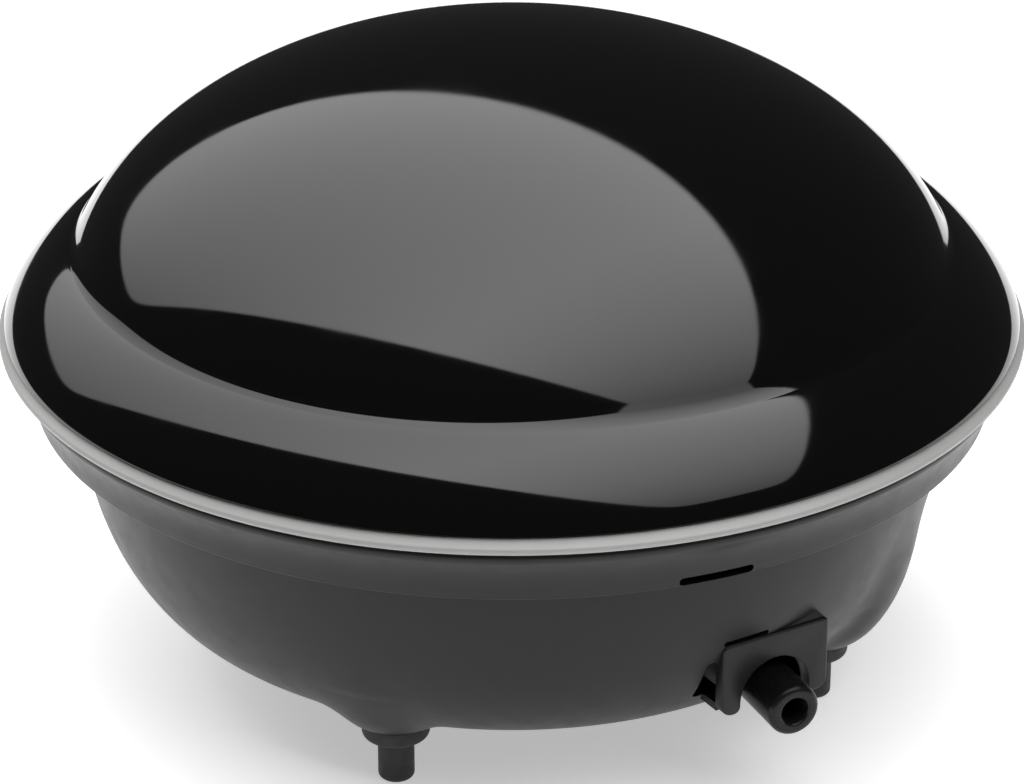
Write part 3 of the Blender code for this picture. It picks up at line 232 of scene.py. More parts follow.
def leave_edit():
    """Go back to object mode."""
    bpy.ops.object.mode_set(mode="OBJECT")


def lathe(name, outline, steps=192):
    """Drag one point round an outline of (radius, height) places, then spin it about the upright axis."""
    deselect()
    bpy.ops.mesh.primitive_plane_add(size=MM, location=(outline[0][0], 0.0, outline[0][1]))
    item = bpy.context.object
    item.name = name
    bpy.ops.object.transform_apply(location=True, rotation=True, scale=True)
    enter_edit(item)
    bpy.ops.mesh.merge(type="CENTER")
    for before, after in zip(outline, outline[1:]):
        shift = (after[0] - before[0], 0.0, after[1] - before[1])
        bpy.ops.mesh.extrude_region_move(TRANSFORM_OT_translate={"value": shift})
    bpy.ops.mesh.select_all(action="SELECT")
    bpy.ops.mesh.spin(steps=steps, angle=math.tau, center=(0.0, 0.0, 0.0), axis=(0.0, 0.0, 1.0))
    bpy.ops.mesh.select_all(action="SELECT")
    bpy.ops.mesh.remove_doubles(threshold=0.004 * MM)
    bpy.ops.mesh.normals_make_consistent(inside=False)
    leave_edit()
    return item


def arc(centre, radius, first, last, steps):
    """Points of a round corner in an outline, from one angle in degrees to another."""
    points = []
    for step in range(steps + 1):
        angle = math.radians(first + (last - first) * step / steps)
        points.append((centre[0] + radius * math.cos(angle), centre[1] + radius * math.sin(angle)))
    return points


def smooth(item, angle=30.0):
    """Shade an object smooth and keep its real corners sharp."""
    deselect()
    bpy.context.view_layer.objects.active = item
    item.select_set(True)
    bpy.ops.object.shade_smooth_by_angle(angle=math.radians(angle))
    return item


def dress(item, material, body, slot, *nodes):
    """Give a finished piece its material and its body, and hide the CAD nodes that it stands for."""
    item.data.materials.clear()
    item.data.materials.append(material)
    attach(item, body)
    if nodes:
        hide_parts(*nodes)
    print(item.name, len(item.data.polygons), "faces")
    return item


# %% [markdown]
# ## Nodes for a finish
# Each finish is a small network: a pattern in the object's own coordinates, spread over colour, roughness
# and a little bump. A helper adds a node and sets its values, so that each material below reads as a list
# of what the finish has.

# %% Material helpers
class Finish:
    """A material that is built up node by node round one Principled shader."""

    def __init__(self, name, colour, roughness, metallic=0.0):
        self.slot = name
        self.material = bpy.data.materials.new(name)
        self.material.use_nodes = True
        self.tree = self.material.node_tree
        self.shader = self.tree.nodes["Principled BSDF"]
        self.shader.inputs["Base Color"].default_value = (*colour, 1.0)
        self.shader.inputs["Roughness"].default_value = roughness
        self.shader.inputs["Metallic"].default_value = metallic
        self.place = self.tree.nodes.new("ShaderNodeTexCoord").outputs["Object"]
        self.bump_out = None

    def add(self, kind, **values):
        """Add a node and set the inputs that are named."""
        node = self.tree.nodes.new("ShaderNode" + kind)
        for key, value in values.items():
            node.inputs[key.replace("_", " ")].default_value = value
        return node

    def stretched(self, scale):
        """Object coordinates, scaled differently along each axis."""
        mapping = self.add("Mapping", Scale=scale)
        self.tree.links.new(self.place, mapping.inputs["Vector"])
        return mapping.outputs["Vector"]

    def noise(self, grain, detail=4.0, roughness=0.55, place=None):
        """Cloudy pattern whose blotches are about one grain across, in millimetres."""
        node = self.add("TexNoise", Scale=1.0 / (grain * MM), Detail=detail, Roughness=roughness)
        self.tree.links.new(place or self.place, node.inputs["Vector"])
        return node.outputs["Fac"]

    def cells(self, grain):
        """Pattern of small cells, as in a sprayed or eroded texture."""
        node = self.add("TexVoronoi", Scale=1.0 / (grain * MM))
        self.tree.links.new(self.place, node.inputs["Vector"])
        return node.outputs["Distance"]

    def ramp(self, value, low, high, out_low, out_high):
        """Spread part of a pattern over a range of values."""
        node = self.tree.nodes.new("ShaderNodeMapRange")
        node.inputs["From Min"].default_value = low
        node.inputs["From Max"].default_value = high
        node.inputs["To Min"].default_value = out_low
        node.inputs["To Max"].default_value = out_high
        self.tree.links.new(value, node.inputs["Value"])
        return node.outputs["Result"]

    def colour_between(self, value, first, second):
        """Let a pattern mix two colours on the surface."""
        node = self.tree.nodes.new("ShaderNodeValToRGB")
        node.color_ramp.elements[0].color = (*first, 1.0)
        node.color_ramp.elements[1].color = (*second, 1.0)
        self.tree.links.new(value, node.inputs["Fac"])
        self.tree.links.new(node.outputs["Color"], self.shader.inputs["Base Color"])
        return self

    def rough(self, value):
        """Let a pattern drive the roughness."""
        self.tree.links.new(value, self.shader.inputs["Roughness"])
        return self

    def bump(self, value, height):
        """Raise the surface by a height in millimetres where a pattern is bright."""
        node = self.add("Bump", Strength=1.0, Distance=height * MM)
        self.tree.links.new(value, node.inputs["Height"])
        if self.bump_out:
            self.tree.links.new(self.bump_out, node.inputs["Normal"])
        self.bump_out = node.outputs["Normal"]
        self.tree.links.new(self.bump_out, self.shader.inputs["Normal"])
        return self


# %% [markdown]
# ## Finish: high-gloss black plastic
# The lid comes out of a mirror-polished mould. Its colour is nearly black and its surface nearly a mirror,
# but not quite: moulded gloss has a faint waviness, called orange peel, and handling leaves slightly duller
# patches. Both are far too small to see as bumps, and both show in the edges of the mirrored lamp.

# %% Gloss black
lid_finish = Finish("lid_gloss_black", (0.0022, 0.0022, 0.0023), 0.05)
lid_finish.rough(lid_finish.ramp(lid_finish.noise(14.0, 3.0), 0.35, 0.7, 0.03, 0.075))
lid_finish.bump(lid_finish.noise(2.2, 1.0), 0.0012)
lid_finish.bump(lid_finish.noise(0.35, 2.0), 0.00012)
lid_finish.shader.inputs["IOR"].default_value = 1.5

nozzle_finish = Finish("nozzle_black", (0.008, 0.008, 0.008), 0.28)
nozzle_finish.shader.inputs["Specular IOR Level"].default_value = 0.2
nozzle_finish.rough(nozzle_finish.ramp(nozzle_finish.noise(1.5), 0.3, 0.7, 0.22, 0.36))
nozzle_finish.bump(nozzle_finish.noise(0.25, 3.0), 0.004)

# %% [markdown]
# ## Finish: satin and matte plastics
# The ring is a plain light grey with a satin face. The base has the fine even roughness of a spark-eroded
# mould: from a distance it is matte, and near its outline it turns lighter, because a rough surface still
# mirrors a bright floor at a low angle. Small cells and finer noise make that texture.

# %% Satin grey and matte dark grey
ring_finish = Finish("ring_light_grey", (0.33, 0.33, 0.325), 0.38)
ring_finish.colour_between(ring_finish.noise(6.0), (0.315, 0.315, 0.31), (0.345, 0.345, 0.34))
ring_finish.rough(ring_finish.ramp(ring_finish.noise(2.5), 0.3, 0.7, 0.32, 0.44))
ring_finish.bump(ring_finish.noise(0.2, 3.0), 0.003)

base_finish = Finish("base_dark_grey", (0.012, 0.012, 0.0118), 0.38)
base_finish.shader.inputs["Specular IOR Level"].default_value = 0.23
base_finish.colour_between(base_finish.noise(1.2), (0.0105, 0.0105, 0.0103), (0.0135, 0.0135, 0.0132))
base_finish.rough(base_finish.ramp(base_finish.noise(3.0), 0.3, 0.7, 0.34, 0.42))
base_finish.bump(base_finish.cells(0.22), 0.006)
base_finish.bump(base_finish.noise(0.12, 2.0), 0.005)

# %% [markdown]
# ## Finish: rubber
# Rubber parts are black and dull, with a dry bloom that makes them slightly paler in patches.

# %% Rubber
rubber_finish = Finish("rubber_black", (0.012, 0.012, 0.012), 0.62)
rubber_finish.colour_between(rubber_finish.noise(2.4), (0.009, 0.009, 0.009), (0.019, 0.019, 0.018))
rubber_finish.rough(rubber_finish.ramp(rubber_finish.noise(1.0), 0.3, 0.7, 0.52, 0.72))
rubber_finish.bump(rubber_finish.noise(0.18, 3.0), 0.01)

# %% [markdown]
# ## The lid
# The lid is one shell: a dome, a crease round it, a brim that rolls down steeply to the edge, and under the
# edge a skirt that finds the base. All of it is round, so a lathe makes it in one go. The dome is half an
# ellipse and the brim is a squeezed one, which starts flat at the crease and ends upright at the edge.

# %% Lid
CREASE_INSET = 8.9 * MM
CREASE_HEIGHT = 9.2 * MM
CREASE_FILLET = 0.35 * MM
BRIM_POWER = 1.33
DOME_RADIUS = 58.97 * MM
DOME_RISE = 37.13 * MM
LID_WALL = 2.4 * MM
dome_centre_z = lid_high.z - DOME_RISE
crease_radius = rim_radius - CREASE_INSET
skirt_radius = rim_radius - 4.6 * MM
skirt_low_z = lid_low.z


def dome_points(drop, last_radius, steps):
    """The dome's ellipse, sunk by a wall's thickness, from the top out to a radius."""
    last = math.asin(last_radius / (DOME_RADIUS - drop))
    points = []
    for step in range(steps + 1):
        angle = last * step / steps
        height = dome_centre_z + (DOME_RISE - drop) * math.cos(angle)
        points.append(((DOME_RADIUS - drop) * math.sin(angle), height))
    return points


def brim_points(steps):
    """The brim's squeezed ellipse, from the crease out and down to the edge."""
    points = []
    for step in range(steps + 1):
        angle = math.pi / 2 * step / steps
        out = math.sin(angle) ** (2 / BRIM_POWER)
        down = math.cos(angle) ** (2 / BRIM_POWER)
        points.append((crease_radius + CREASE_INSET * out, rim_z + CREASE_HEIGHT * down))
    return points


outer_skin = dome_points(0.0, crease_radius - CREASE_FILLET, 56)[:-1]
outer_skin += brim_points(30)[1:]
under_edge = [(skirt_radius, rim_z), (skirt_radius, skirt_low_z), (skirt_radius - 1.4 * MM, skirt_low_z)]
inner_skin = [(skirt_radius - 1.4 * MM, rim_z + CREASE_HEIGHT / 2 - GAP)]
inner_skin += dome_points(LID_WALL, crease_radius - LID_WALL / 2, 24)[::-1]
lid = lathe("lid_shell", outer_skin + under_edge + inner_skin, 256)
smooth(lid, 40.0)
dress(lid, lid_finish.material, "housing", "lid_gloss_black", "top_cover")

# %% [markdown]
# ## The trim ring
# A thin light ring hides the seam between lid and base. Its outer side is a small roll, so that it catches
# a fine line of light all the way round. It is turned on the lathe like the lid.

# %% Trim ring
ring_bottom = ring_low.z
ring_inner = skirt_radius + GAP
roll = 0.55 * MM
ring_outline = [(ring_inner, ring_bottom), (ring_inner, ring_high.z), (rim_radius - GAP, ring_high.z)]
ring_outline += arc((ring_radius - roll, ring_bottom + roll), roll, 60.0, -80.0, 10)
ring_outline += [(ring_inner, ring_bottom)]
ring = lathe("trim_ring_fine", ring_outline, 256)
smooth(ring, 40.0)
dress(ring, ring_finish.material, "housing", "ring_light_grey", "trim_ring")

# %% [markdown]
# ## The base
# The base is a round moulding too: a small lip under the ring, a band that tapers inwards, a step, and a
# bowl that curves down to a flat floor. The lathe makes it as one closed wall, inner side included. The
# outline is dense enough that no flat facet shows on the outline of the bowl.

# %% Base wall
BAND_HEIGHT = 7.6 * MM
BAND_INSET = 3.5 * MM
BOWL_INSET = 8.7 * MM
BOWL_FLAT = 40.3 * MM
WALL = 2.0 * MM
step_z = base_top_z - BAND_HEIGHT
bowl_radius = rim_radius - BOWL_INSET
inner_floor_z = bowl_floor_z + WALL
inner_rim = skirt_radius + GAP
BAND_SHAPE = ((1.1, 0.0), (0.72, 0.12), (0.5, 0.4), (0.42, 0.8), (0.5, 1.2), (0.78, 1.62), (1.2, 2.1),
              (1.7, 2.8), (2.16, 3.6), (2.54, 4.5), (2.86, 5.5), (3.08, 6.4), (3.2, 7.0), (3.3, 7.28))


def bowl_points(inset, floor_height, steps):
    """Side of the bowl, a wall's thickness inside it, from its widest round down to the flat floor."""
    points = []
    for step in range(steps + 1):
        angle = math.pi / 2 * step / steps
        out = (bowl_radius - BOWL_FLAT) * math.cos(angle)
        height = step_z - inset - (step_z - inset - floor_height) * math.sin(angle)
        points.append((BOWL_FLAT - inset + out, height))
    return points


inside = [(0.0, inner_floor_z)] + bowl_points(WALL, inner_floor_z, 16)[::-1]
inside += [(bowl_radius - WALL, step_z + WALL), (inner_rim - 0.7 * MM, step_z + WALL)]
inside += [(inner_rim, rim_z - 6.0 * MM), (inner_rim, base_top_z)]
band = [(rim_radius - inset * MM, base_top_z - depth * MM) for inset, depth in BAND_SHAPE]
band += arc((rim_radius - BAND_INSET - 0.1 * MM, step_z + 0.3 * MM), 0.3 * MM, 0.0, -90.0, 5)
band += [(bowl_radius + 0.4 * MM, step_z), (bowl_radius, step_z - 0.1 * MM)]
under = [(BOWL_FLAT - 0.8 * MM * step, bowl_floor_z) for step in range(1, 20)] + [(0.0, bowl_floor_z)]
base = lathe("base_shell", inside + band + bowl_points(0.0, bowl_floor_z, 56)[1:] + under, 320)
print("bowl radius", round(bowl_radius, 4), "step height", round(step_z, 4))

# %% [markdown]
# ## The four legs
# The legs are no separate posts: each one swells out of the bowl's lower corner and runs out in a soft
# hollow, as a moulding does so that it leaves the mould easily. Two shapes that melt into each other
# like this can be made with a sculpting brush that drags the wall outwards. The code does the same: each
# point of the outer wall slides out along its own ray until it lies on the melted pair of shapes.

# %% Legs
LEG_RADIUS = 12.3 * MM
LEG_ROUND_HEIGHT = 15.0 * MM
LEG_FOOT_RADIUS = 4.6 * MM
LEG_POWER = 1.6
LEG_BLEND = 1.4 * MM
foot_nodes = ("foot_front_right", "foot_back_right", "foot_back_left", "foot_front_left")
feet_places = []
for name in foot_nodes:
    low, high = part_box(name)
    feet_places.append(Vector(((low.x + high.x) / 2, (low.y + high.y) / 2, 0.0)))


def bowl_distance(point):
    """Rough distance of a point from the bowl's outer side, negative inside."""
    radius = math.hypot(point.x, point.y)
    side = bowl_radius - BOWL_FLAT
    depth = step_z - bowl_floor_z
    out = max((radius - BOWL_FLAT) / side, 0.0)
    down = max((step_z - point.z) / depth, 0.0)
    return (math.hypot(out, down) - 1.0) * (side if out > down else depth)


def leg_distance(point, place):
    """Rough distance of a point from one leg, negative inside."""
    down = (leg_end_z + LEG_ROUND_HEIGHT - point.z) / LEG_ROUND_HEIGHT
    if down < 0.0:
        radius = LEG_RADIUS
    elif down < 1.0:
        swell = (1.0 - down ** LEG_POWER) ** (1.0 / LEG_POWER)
        radius = LEG_FOOT_RADIUS + (LEG_RADIUS - LEG_FOOT_RADIUS) * swell
    else:
        radius = LEG_FOOT_RADIUS - (down - 1.0) * 2.0 * LEG_ROUND_HEIGHT
    return 0.75 * (math.hypot(point.x - place.x, point.y - place.y) - radius)


def melted_distance(point, place):
    """Distance from the bowl and a leg that melt into each other."""
    bowl = bowl_distance(point)
    leg = leg_distance(point, place)
    near = max(LEG_BLEND - abs(bowl - leg), 0.0) / LEG_BLEND
    return min(bowl, leg) - near * near * LEG_BLEND / 4.0


ray_start = Vector((0.0, 0.0, step_z))
LONGEST_PUSH = 6.0 * MM
moved = 0
for vertex in base.data.vertices:
    point = vertex.co.copy()
    if point.z > step_z - 0.5 * MM or bowl_distance(point) < -0.6 * MM:
        continue
    place = min(feet_places, key=lambda foot: (foot.x - point.x) ** 2 + (foot.y - point.y) ** 2)
    if math.hypot(place.x - point.x, place.y - point.y) > LEG_RADIUS + 2 * LEG_BLEND:
        continue
    outwards = (point - ray_start).normalized()
    near_end, far_end = 0.0, LONGEST_PUSH
    if melted_distance(point, place) > 0.0:
        continue
    for _ in range(18):
        middle = (near_end + far_end) / 2
        if melted_distance(point + outwards * middle, place) < 0.0:
            near_end = middle
        else:
            far_end = middle
    vertex.co = point + outwards * near_end
    moved += 1
enter_edit(base)
bpy.ops.mesh.bisect(
    plane_co=(0.0, 0.0, leg_end_z), plane_no=(0.0, 0.0, 1.0), clear_inner=True, use_fill=True
)
leave_edit()
print("points dragged out into legs", moved)

# %% [markdown]
# ## Cutting and joining
# A moulding has holes, pockets and posts. Each one is a plain solid that is added to the wall or taken out
# of it with a Boolean modifier, which is then applied.

# %% Boolean helper
def boolean(item, others, operation):
    """Join or cut with a list of solids, which are used up."""
    for other in others:
        modifier = item.modifiers.new("shape", "BOOLEAN")
        modifier.operation = operation
        modifier.solver = "EXACT"
        modifier.object = other
        deselect()
        bpy.context.view_layer.objects.active = item
        item.select_set(True)
        bpy.ops.object.modifier_apply(modifier=modifier.name)
        bpy.data.objects.remove(other, do_unlink=True)
    return item


def block(name, low, high, azimuth=0.0):
    """Block from its low corner to its high corner, turned about the pump's axis."""
    deselect()
    middle = (Vector(low) + Vector(high)) / 2
    bpy.ops.mesh.primitive_cube_add(size=1.0, location=middle)
    item = bpy.context.object
    item.name = name
    item.scale = Vector(high) - Vector(low)
    bpy.ops.object.transform_apply(location=True, rotation=True, scale=True)
    return turned_to(item, azimuth)


def turned_to(item, azimuth):
    """Turn an object that faces +X to an azimuth round the pump."""
    deselect()
    item.select_set(True)
    bpy.context.view_layer.objects.active = item
    item.rotation_euler = (0.0, 0.0, azimuth)
    bpy.ops.object.transform_apply(location=True, rotation=True, scale=True)
    return item


def bar(name, radius, start, end, steps=48):
    """Round bar between two points."""
    deselect()
    start = Vector(start)
    end = Vector(end)
    turn = (end - start).to_track_quat("Z", "Y").to_euler()
    bpy.ops.mesh.primitive_cylinder_add(
        vertices=steps, radius=radius, depth=(end - start).length, location=(start + end) / 2, rotation=turn
    )
    item = bpy.context.object
    item.name = name
    bpy.ops.object.transform_apply(location=True, rotation=True, scale=True)
    return item


def extruded(name, outline, low, high, azimuth=0.0):
    """Draw an upright outline of (sideways, height) places, fill it and pull it outwards."""
    deselect()
    bpy.ops.mesh.primitive_plane_add(size=MM, location=(low, outline[0][0], outline[0][1]))
    item = bpy.context.object
    item.name = name
    bpy.ops.object.transform_apply(location=True, rotation=True, scale=True)
    enter_edit(item)
    bpy.ops.mesh.merge(type="CENTER")
    for before, after in zip(outline, outline[1:] + outline[:1]):
        shift = (0.0, after[0] - before[0], after[1] - before[1])
        bpy.ops.mesh.extrude_region_move(TRANSFORM_OT_translate={"value": shift})
    bpy.ops.mesh.select_all(action="SELECT")
    bpy.ops.mesh.remove_doubles(threshold=0.004 * MM)
    bpy.ops.mesh.edge_face_add()
    bpy.ops.mesh.extrude_region_move(TRANSFORM_OT_translate={"value": (high - low, 0.0, 0.0)})
    bpy.ops.mesh.select_all(action="SELECT")
    bpy.ops.mesh.normals_make_consistent(inside=False)
    leave_edit()
    return turned_to(item, azimuth)


def soften(item, width, segments=3, angle=35.0):
    """Round every sharp edge a little with a bevel, then apply it."""
    modifier = item.modifiers.new("soften", "BEVEL")
    modifier.width = width
    modifier.segments = segments
    modifier.limit_method = "ANGLE"
    modifier.angle_limit = math.radians(angle)
    modifier.use_clamp_overlap = True
    deselect()
    bpy.context.view_layer.objects.active = item
    item.select_set(True)
    bpy.ops.object.modifier_apply(modifier=modifier.name)
    return item


# %% [markdown]
# ## Round the air outlet
# The outlet is a bracket on the bowl's front: a flat plate with an arch in it, dark pockets on both sides
# and the nozzle in the arch. Behind the plate the moulding is solid, so that the nozzle sits firmly. A
# slot runs along the plate's upper edge, and another one is let into the step of the band above.

# %% Cuts in the base
OUTLET_AZIMUTH = math.radians(-83.0)
OUTLET_SIDE = 5.1 * MM
OUTLET_HALF_WIDTH = 7.7 * MM
OUTLET_HEIGHT = 9.8 * MM
PLATE_THICKNESS = 1.9 * MM
BLOCK_DEPTH = 9.5 * MM
POCKET_DEPTH = 5.5 * MM
POCKET_WIDTH = 1.7 * MM
ARCH_RADIUS = 5.0 * MM
PLUG_HOLE_RADIUS = 3.2 * MM
PLUG_HOLE_DEPTH = 6.0 * MM
GLAND_NECK_RADIUS = 3.0 * MM
GLAND_BORE_RADIUS = 2.0 * MM
ARCH_SPRING = 1.3 * MM
SLOT_LENGTH = 6.5 * MM
WINDOW_AZIMUTH = math.radians(-91.0)
outlet_plane = rim_radius - 10.7 * MM
plate_low = bowl_floor_z + 4.6 * MM
plate_high = plate_low + OUTLET_HEIGHT
plate_back = outlet_plane - PLATE_THICKNESS
left_edge = OUTLET_SIDE - OUTLET_HALF_WIDTH
right_edge = OUTLET_SIDE + OUTLET_HALF_WIDTH
nozzle_low, nozzle_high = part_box("outlet_nozzle")
nozzle_radius = (nozzle_high.x - nozzle_low.x) / 2
nozzle_tip = Vector(((nozzle_low.x + nozzle_high.x) / 2, nozzle_low.y, (nozzle_low.z + nozzle_high.z) / 2))
arch_outline = [(OUTLET_SIDE + ARCH_RADIUS, leg_end_z)]
arch_outline += arc((OUTLET_SIDE, plate_low + ARCH_SPRING), ARCH_RADIUS, 0.0, 180.0, 28)
arch_outline += [(OUTLET_SIDE - ARCH_RADIUS, leg_end_z)]


def outlet_block(name, depths, sides, heights):
    """Block at the outlet, given by its depths from the pump's axis, its sides and its heights."""
    low = (depths[0], sides[0], heights[0])
    high = (depths[1], sides[1], heights[1])
    return block(name, low, high, OUTLET_AZIMUTH)


def rounded_block(name, low, high, azimuth, rounding):
    """Block with rounded edges, turned about the pump's axis."""
    item = block(name, low, high)
    enter_edit(item)
    bpy.ops.mesh.bevel(offset=rounding, segments=4, affect="EDGES")
    leave_edit()
    return turned_to(item, azimuth)


solid = outlet_block("outlet_solid", (outlet_plane - BLOCK_DEPTH, plate_back + 0.1 * MM),
                     (left_edge + 0.2 * MM, right_edge - 0.2 * MM),
                     (plate_low + 0.2 * MM, plate_high - 0.2 * MM))
shoulder = block("outlet_shoulder", (plate_back - 3.0 * MM, left_edge + SLOT_LENGTH, plate_high - GAP),
                 (outlet_plane - GAP, right_edge - GAP, plate_high + 5.0 * MM))
for vertex in shoulder.data.vertices:
    if vertex.co.z > plate_high:
        vertex.co.x = min(vertex.co.x, plate_back - 2.9 * MM)
        vertex.co.y = min(vertex.co.y, right_edge - 4.5 * MM)
boolean(base, [solid, turned_to(shoulder, OUTLET_AZIMUTH)], "UNION")
bore_end = nozzle_tip + Vector((0.0, 22.0 * MM, 0.0))
cuts = [
    extruded("arch", arch_outline, plate_back - POCKET_DEPTH, outlet_plane + WALL, OUTLET_AZIMUTH),
    bar("nozzle_hole", nozzle_radius + GAP, nozzle_tip, bore_end),
    rounded_block("slot", (outlet_plane - 3.0 * MM, left_edge, plate_high + 0.1 * MM),
                  (outlet_plane + 3 * WALL, left_edge + SLOT_LENGTH, plate_high + 0.9 * MM),
                  OUTLET_AZIMUTH, 0.35 * MM),
    rounded_block("window", (rim_radius - BAND_INSET - 4.5 * MM, -4.8 * MM, step_z + 0.12 * MM),
                  (rim_radius + WALL, 4.8 * MM, step_z + 1.25 * MM), WINDOW_AZIMUTH, 0.5 * MM),
    bar("filter_recess", filter_high.x + GAP,
        (0.0, 0.0, bowl_floor_z - WALL), (0.0, 0.0, bowl_floor_z + WALL / 2), 96),
    bar("air_hole", filter_high.x / 2,
        (0.0, 0.0, bowl_floor_z), (0.0, 0.0, bowl_floor_z + 2 * WALL), 48),
    rounded_block("left_pocket",
                  (plate_back - POCKET_DEPTH, left_edge - POCKET_WIDTH, plate_low + 1.2 * MM),
                  (rim_radius, left_edge - 0.1 * MM, plate_high - 2.2 * MM), OUTLET_AZIMUTH, 0.7 * MM),
    outlet_block("behind_plate", (plate_back - POCKET_DEPTH, plate_back),
                 (left_edge - 0.2 * MM, right_edge - GAP),
                 (plate_low + 1.2 * MM, plate_high - 2.2 * MM)),
]
for place in feet_places:
    plug_top = place + Vector((0.0, 0.0, leg_end_z + PLUG_HOLE_DEPTH))
    cuts.append(bar("plug_hole", PLUG_HOLE_RADIUS, place, plug_top, 32))
gland_low, gland_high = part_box("cord_gland")
gland_z = (gland_low.z + gland_high.z) / 2
cuts.append(bar("gland_hole", GLAND_NECK_RADIUS + GAP,
                (0.0, gland_low.y, gland_z), (0.0, gland_high.y + WALL, gland_z)))
boolean(base, cuts, "DIFFERENCE")
smooth(base, 32.0)
dress(base, base_finish.material, "housing", "base_dark_grey", "base_housing")

# %% [markdown]
# ## The outlet's plate
# The plate has rounded corners and two short legs beside the arch. It is drawn flat, pulled to its
# thickness, and all its edges are bevelled, because the light that runs along such an edge is what shows
# that the plate stands free of the pockets.

# %% Outlet plate
CORNER = 1.5 * MM
LEG_CORNER = 0.9 * MM
TOP_CORNER = 0.6 * MM
arch_left = OUTLET_SIDE - ARCH_RADIUS
arch_right = OUTLET_SIDE + ARCH_RADIUS
plate_outline = arc((right_edge - CORNER, plate_low + CORNER), CORNER, 0.0, -90.0, 6)
plate_outline += arc((arch_right + LEG_CORNER, plate_low + LEG_CORNER), LEG_CORNER, -90.0, -180.0, 4)
plate_outline += arc((OUTLET_SIDE, plate_low + ARCH_SPRING), ARCH_RADIUS, 0.0, 180.0, 28)
plate_outline += arc((arch_left - LEG_CORNER, plate_low + LEG_CORNER), LEG_CORNER, 0.0, -90.0, 4)
plate_outline += arc((left_edge + CORNER, plate_low + CORNER), CORNER, -90.0, -180.0, 6)
plate_outline += arc((left_edge + TOP_CORNER, plate_high - TOP_CORNER), TOP_CORNER, 180.0, 90.0, 3)
plate_outline += arc((right_edge - TOP_CORNER, plate_high - TOP_CORNER), TOP_CORNER, 90.0, 0.0, 3)
plate = extruded("outlet_plate", plate_outline, plate_back, outlet_plane, OUTLET_AZIMUTH)
soften(plate, 0.28 * MM)
smooth(plate)
dress(plate, base_finish.material, "housing", "base_dark_grey")

# %% [markdown]
# ## The nozzle
# The air line is pushed over this nozzle, so it is a plain round tube with a well rounded end. A lathe
# makes it upright, then it is laid down so that it points to the front.

# %% Nozzle
NOZZLE_EDGE = 0.8 * MM
NOZZLE_BORE = 1.75 * MM
nozzle_length = nozzle_high.y - nozzle_low.y
shoulder = nozzle_length - 4.0 * MM
nozzle_outline = [(NOZZLE_BORE, -nozzle_length), (NOZZLE_BORE, -0.4 * MM)]
nozzle_outline += arc((NOZZLE_BORE + 0.4 * MM, -0.4 * MM), 0.4 * MM, 180.0, 90.0, 5)[1:]
nozzle_outline += arc((nozzle_radius - NOZZLE_EDGE, -NOZZLE_EDGE), NOZZLE_EDGE, 90.0, 0.0, 8)
nozzle_outline += [(nozzle_radius, -shoulder), (2.25 * MM, -shoulder), (2.25 * MM, -nozzle_length)]
nozzle_outline += [nozzle_outline[0]]
nozzle = lathe("nozzle_fine", nozzle_outline, 96)


def laid_down(item, turn, place):
    """Turn a lathed piece and put it in place, then make that its own shape."""
    deselect()
    item.rotation_euler = turn
    item.location = place
    item.select_set(True)
    bpy.context.view_layer.objects.active = item
    bpy.ops.object.transform_apply(location=True, rotation=True, scale=True)
    return item


laid_down(nozzle, (math.pi / 2, 0.0, 0.0), nozzle_tip)
smooth(nozzle, 35.0)
dress(nozzle, nozzle_finish.material, "housing", "nozzle_black", "outlet_nozzle")

# %% [markdown]
# ## Cord gland
# At the back a rubber gland guides the mains cord through the wall. It is a short tube with a flange on
# each side of the wall. The lathe makes it upright, and it is laid down like the nozzle.

# %% Cord gland
gland_radius = (gland_high.x - gland_low.x) / 2
gland_half = (gland_high.y - gland_low.y) / 2
FLANGE = 1.6 * MM
ROUND = 0.6 * MM
BORE_ROUND = 0.4 * MM
bore_middle = GLAND_BORE_RADIUS + BORE_ROUND
gland_outline = arc((bore_middle, -gland_half + BORE_ROUND), BORE_ROUND, -180.0, -90.0, 4)
gland_outline += arc((gland_radius - ROUND, -gland_half + ROUND), ROUND, -90.0, 0.0, 5)
gland_outline += [(gland_radius, -gland_half + FLANGE), (GLAND_NECK_RADIUS, -gland_half + FLANGE)]
gland_outline += [(GLAND_NECK_RADIUS, gland_half - FLANGE), (gland_radius, gland_half - FLANGE)]
gland_outline += arc((gland_radius - ROUND, gland_half - ROUND), ROUND, 0.0, 90.0, 5)
gland_outline += arc((bore_middle, gland_half - BORE_ROUND), BORE_ROUND, 90.0, 180.0, 4)
gland_outline += [gland_outline[0]]
gland = lathe("cord_gland_fine", gland_outline, 96)
laid_down(gland, (math.pi / 2, 0.0, 0.0), (0.0, (gland_low.y + gland_high.y) / 2, gland_z))
smooth(gland, 35.0)
dress(gland, rubber_finish.material, "housing", "rubber_black", "cord_gland")

# %% [markdown]
# ## Filter cap
# Underneath, a round cap with eight slots covers the felt through which the pump draws its air. The slots
# are cut by equal rounded bars, each turned a little further than the last.

# %% Filter cap
FILTER_SLOTS = 8
SLOT_WIDTH = 1.6 * MM
cap_radius = filter_high.x
cap_outline = [(0.0, filter_low.z), (cap_radius * 0.2, filter_low.z), (cap_radius * 0.6, filter_low.z)]
cap_outline += arc((cap_radius - 0.4 * MM, filter_low.z + 0.4 * MM), 0.4 * MM, -90.0, 0.0, 5)
cap_outline += [(cap_radius, filter_high.z), (0.0, filter_high.z)]
cap = lathe("filter_cap_fine", cap_outline, 160)
slots = []
for index in range(FILTER_SLOTS):
    slot = rounded_block("slot", (cap_radius * 0.3, -SLOT_WIDTH / 2, filter_low.z - WALL),
                         (cap_radius * 0.82, SLOT_WIDTH / 2, filter_high.z + WALL),
                         math.tau * index / FILTER_SLOTS, SLOT_WIDTH * 0.45)
    slots.append(slot)
boolean(cap, slots, "DIFFERENCE")
soften(cap, 0.12 * MM, 2)
smooth(cap, 35.0)
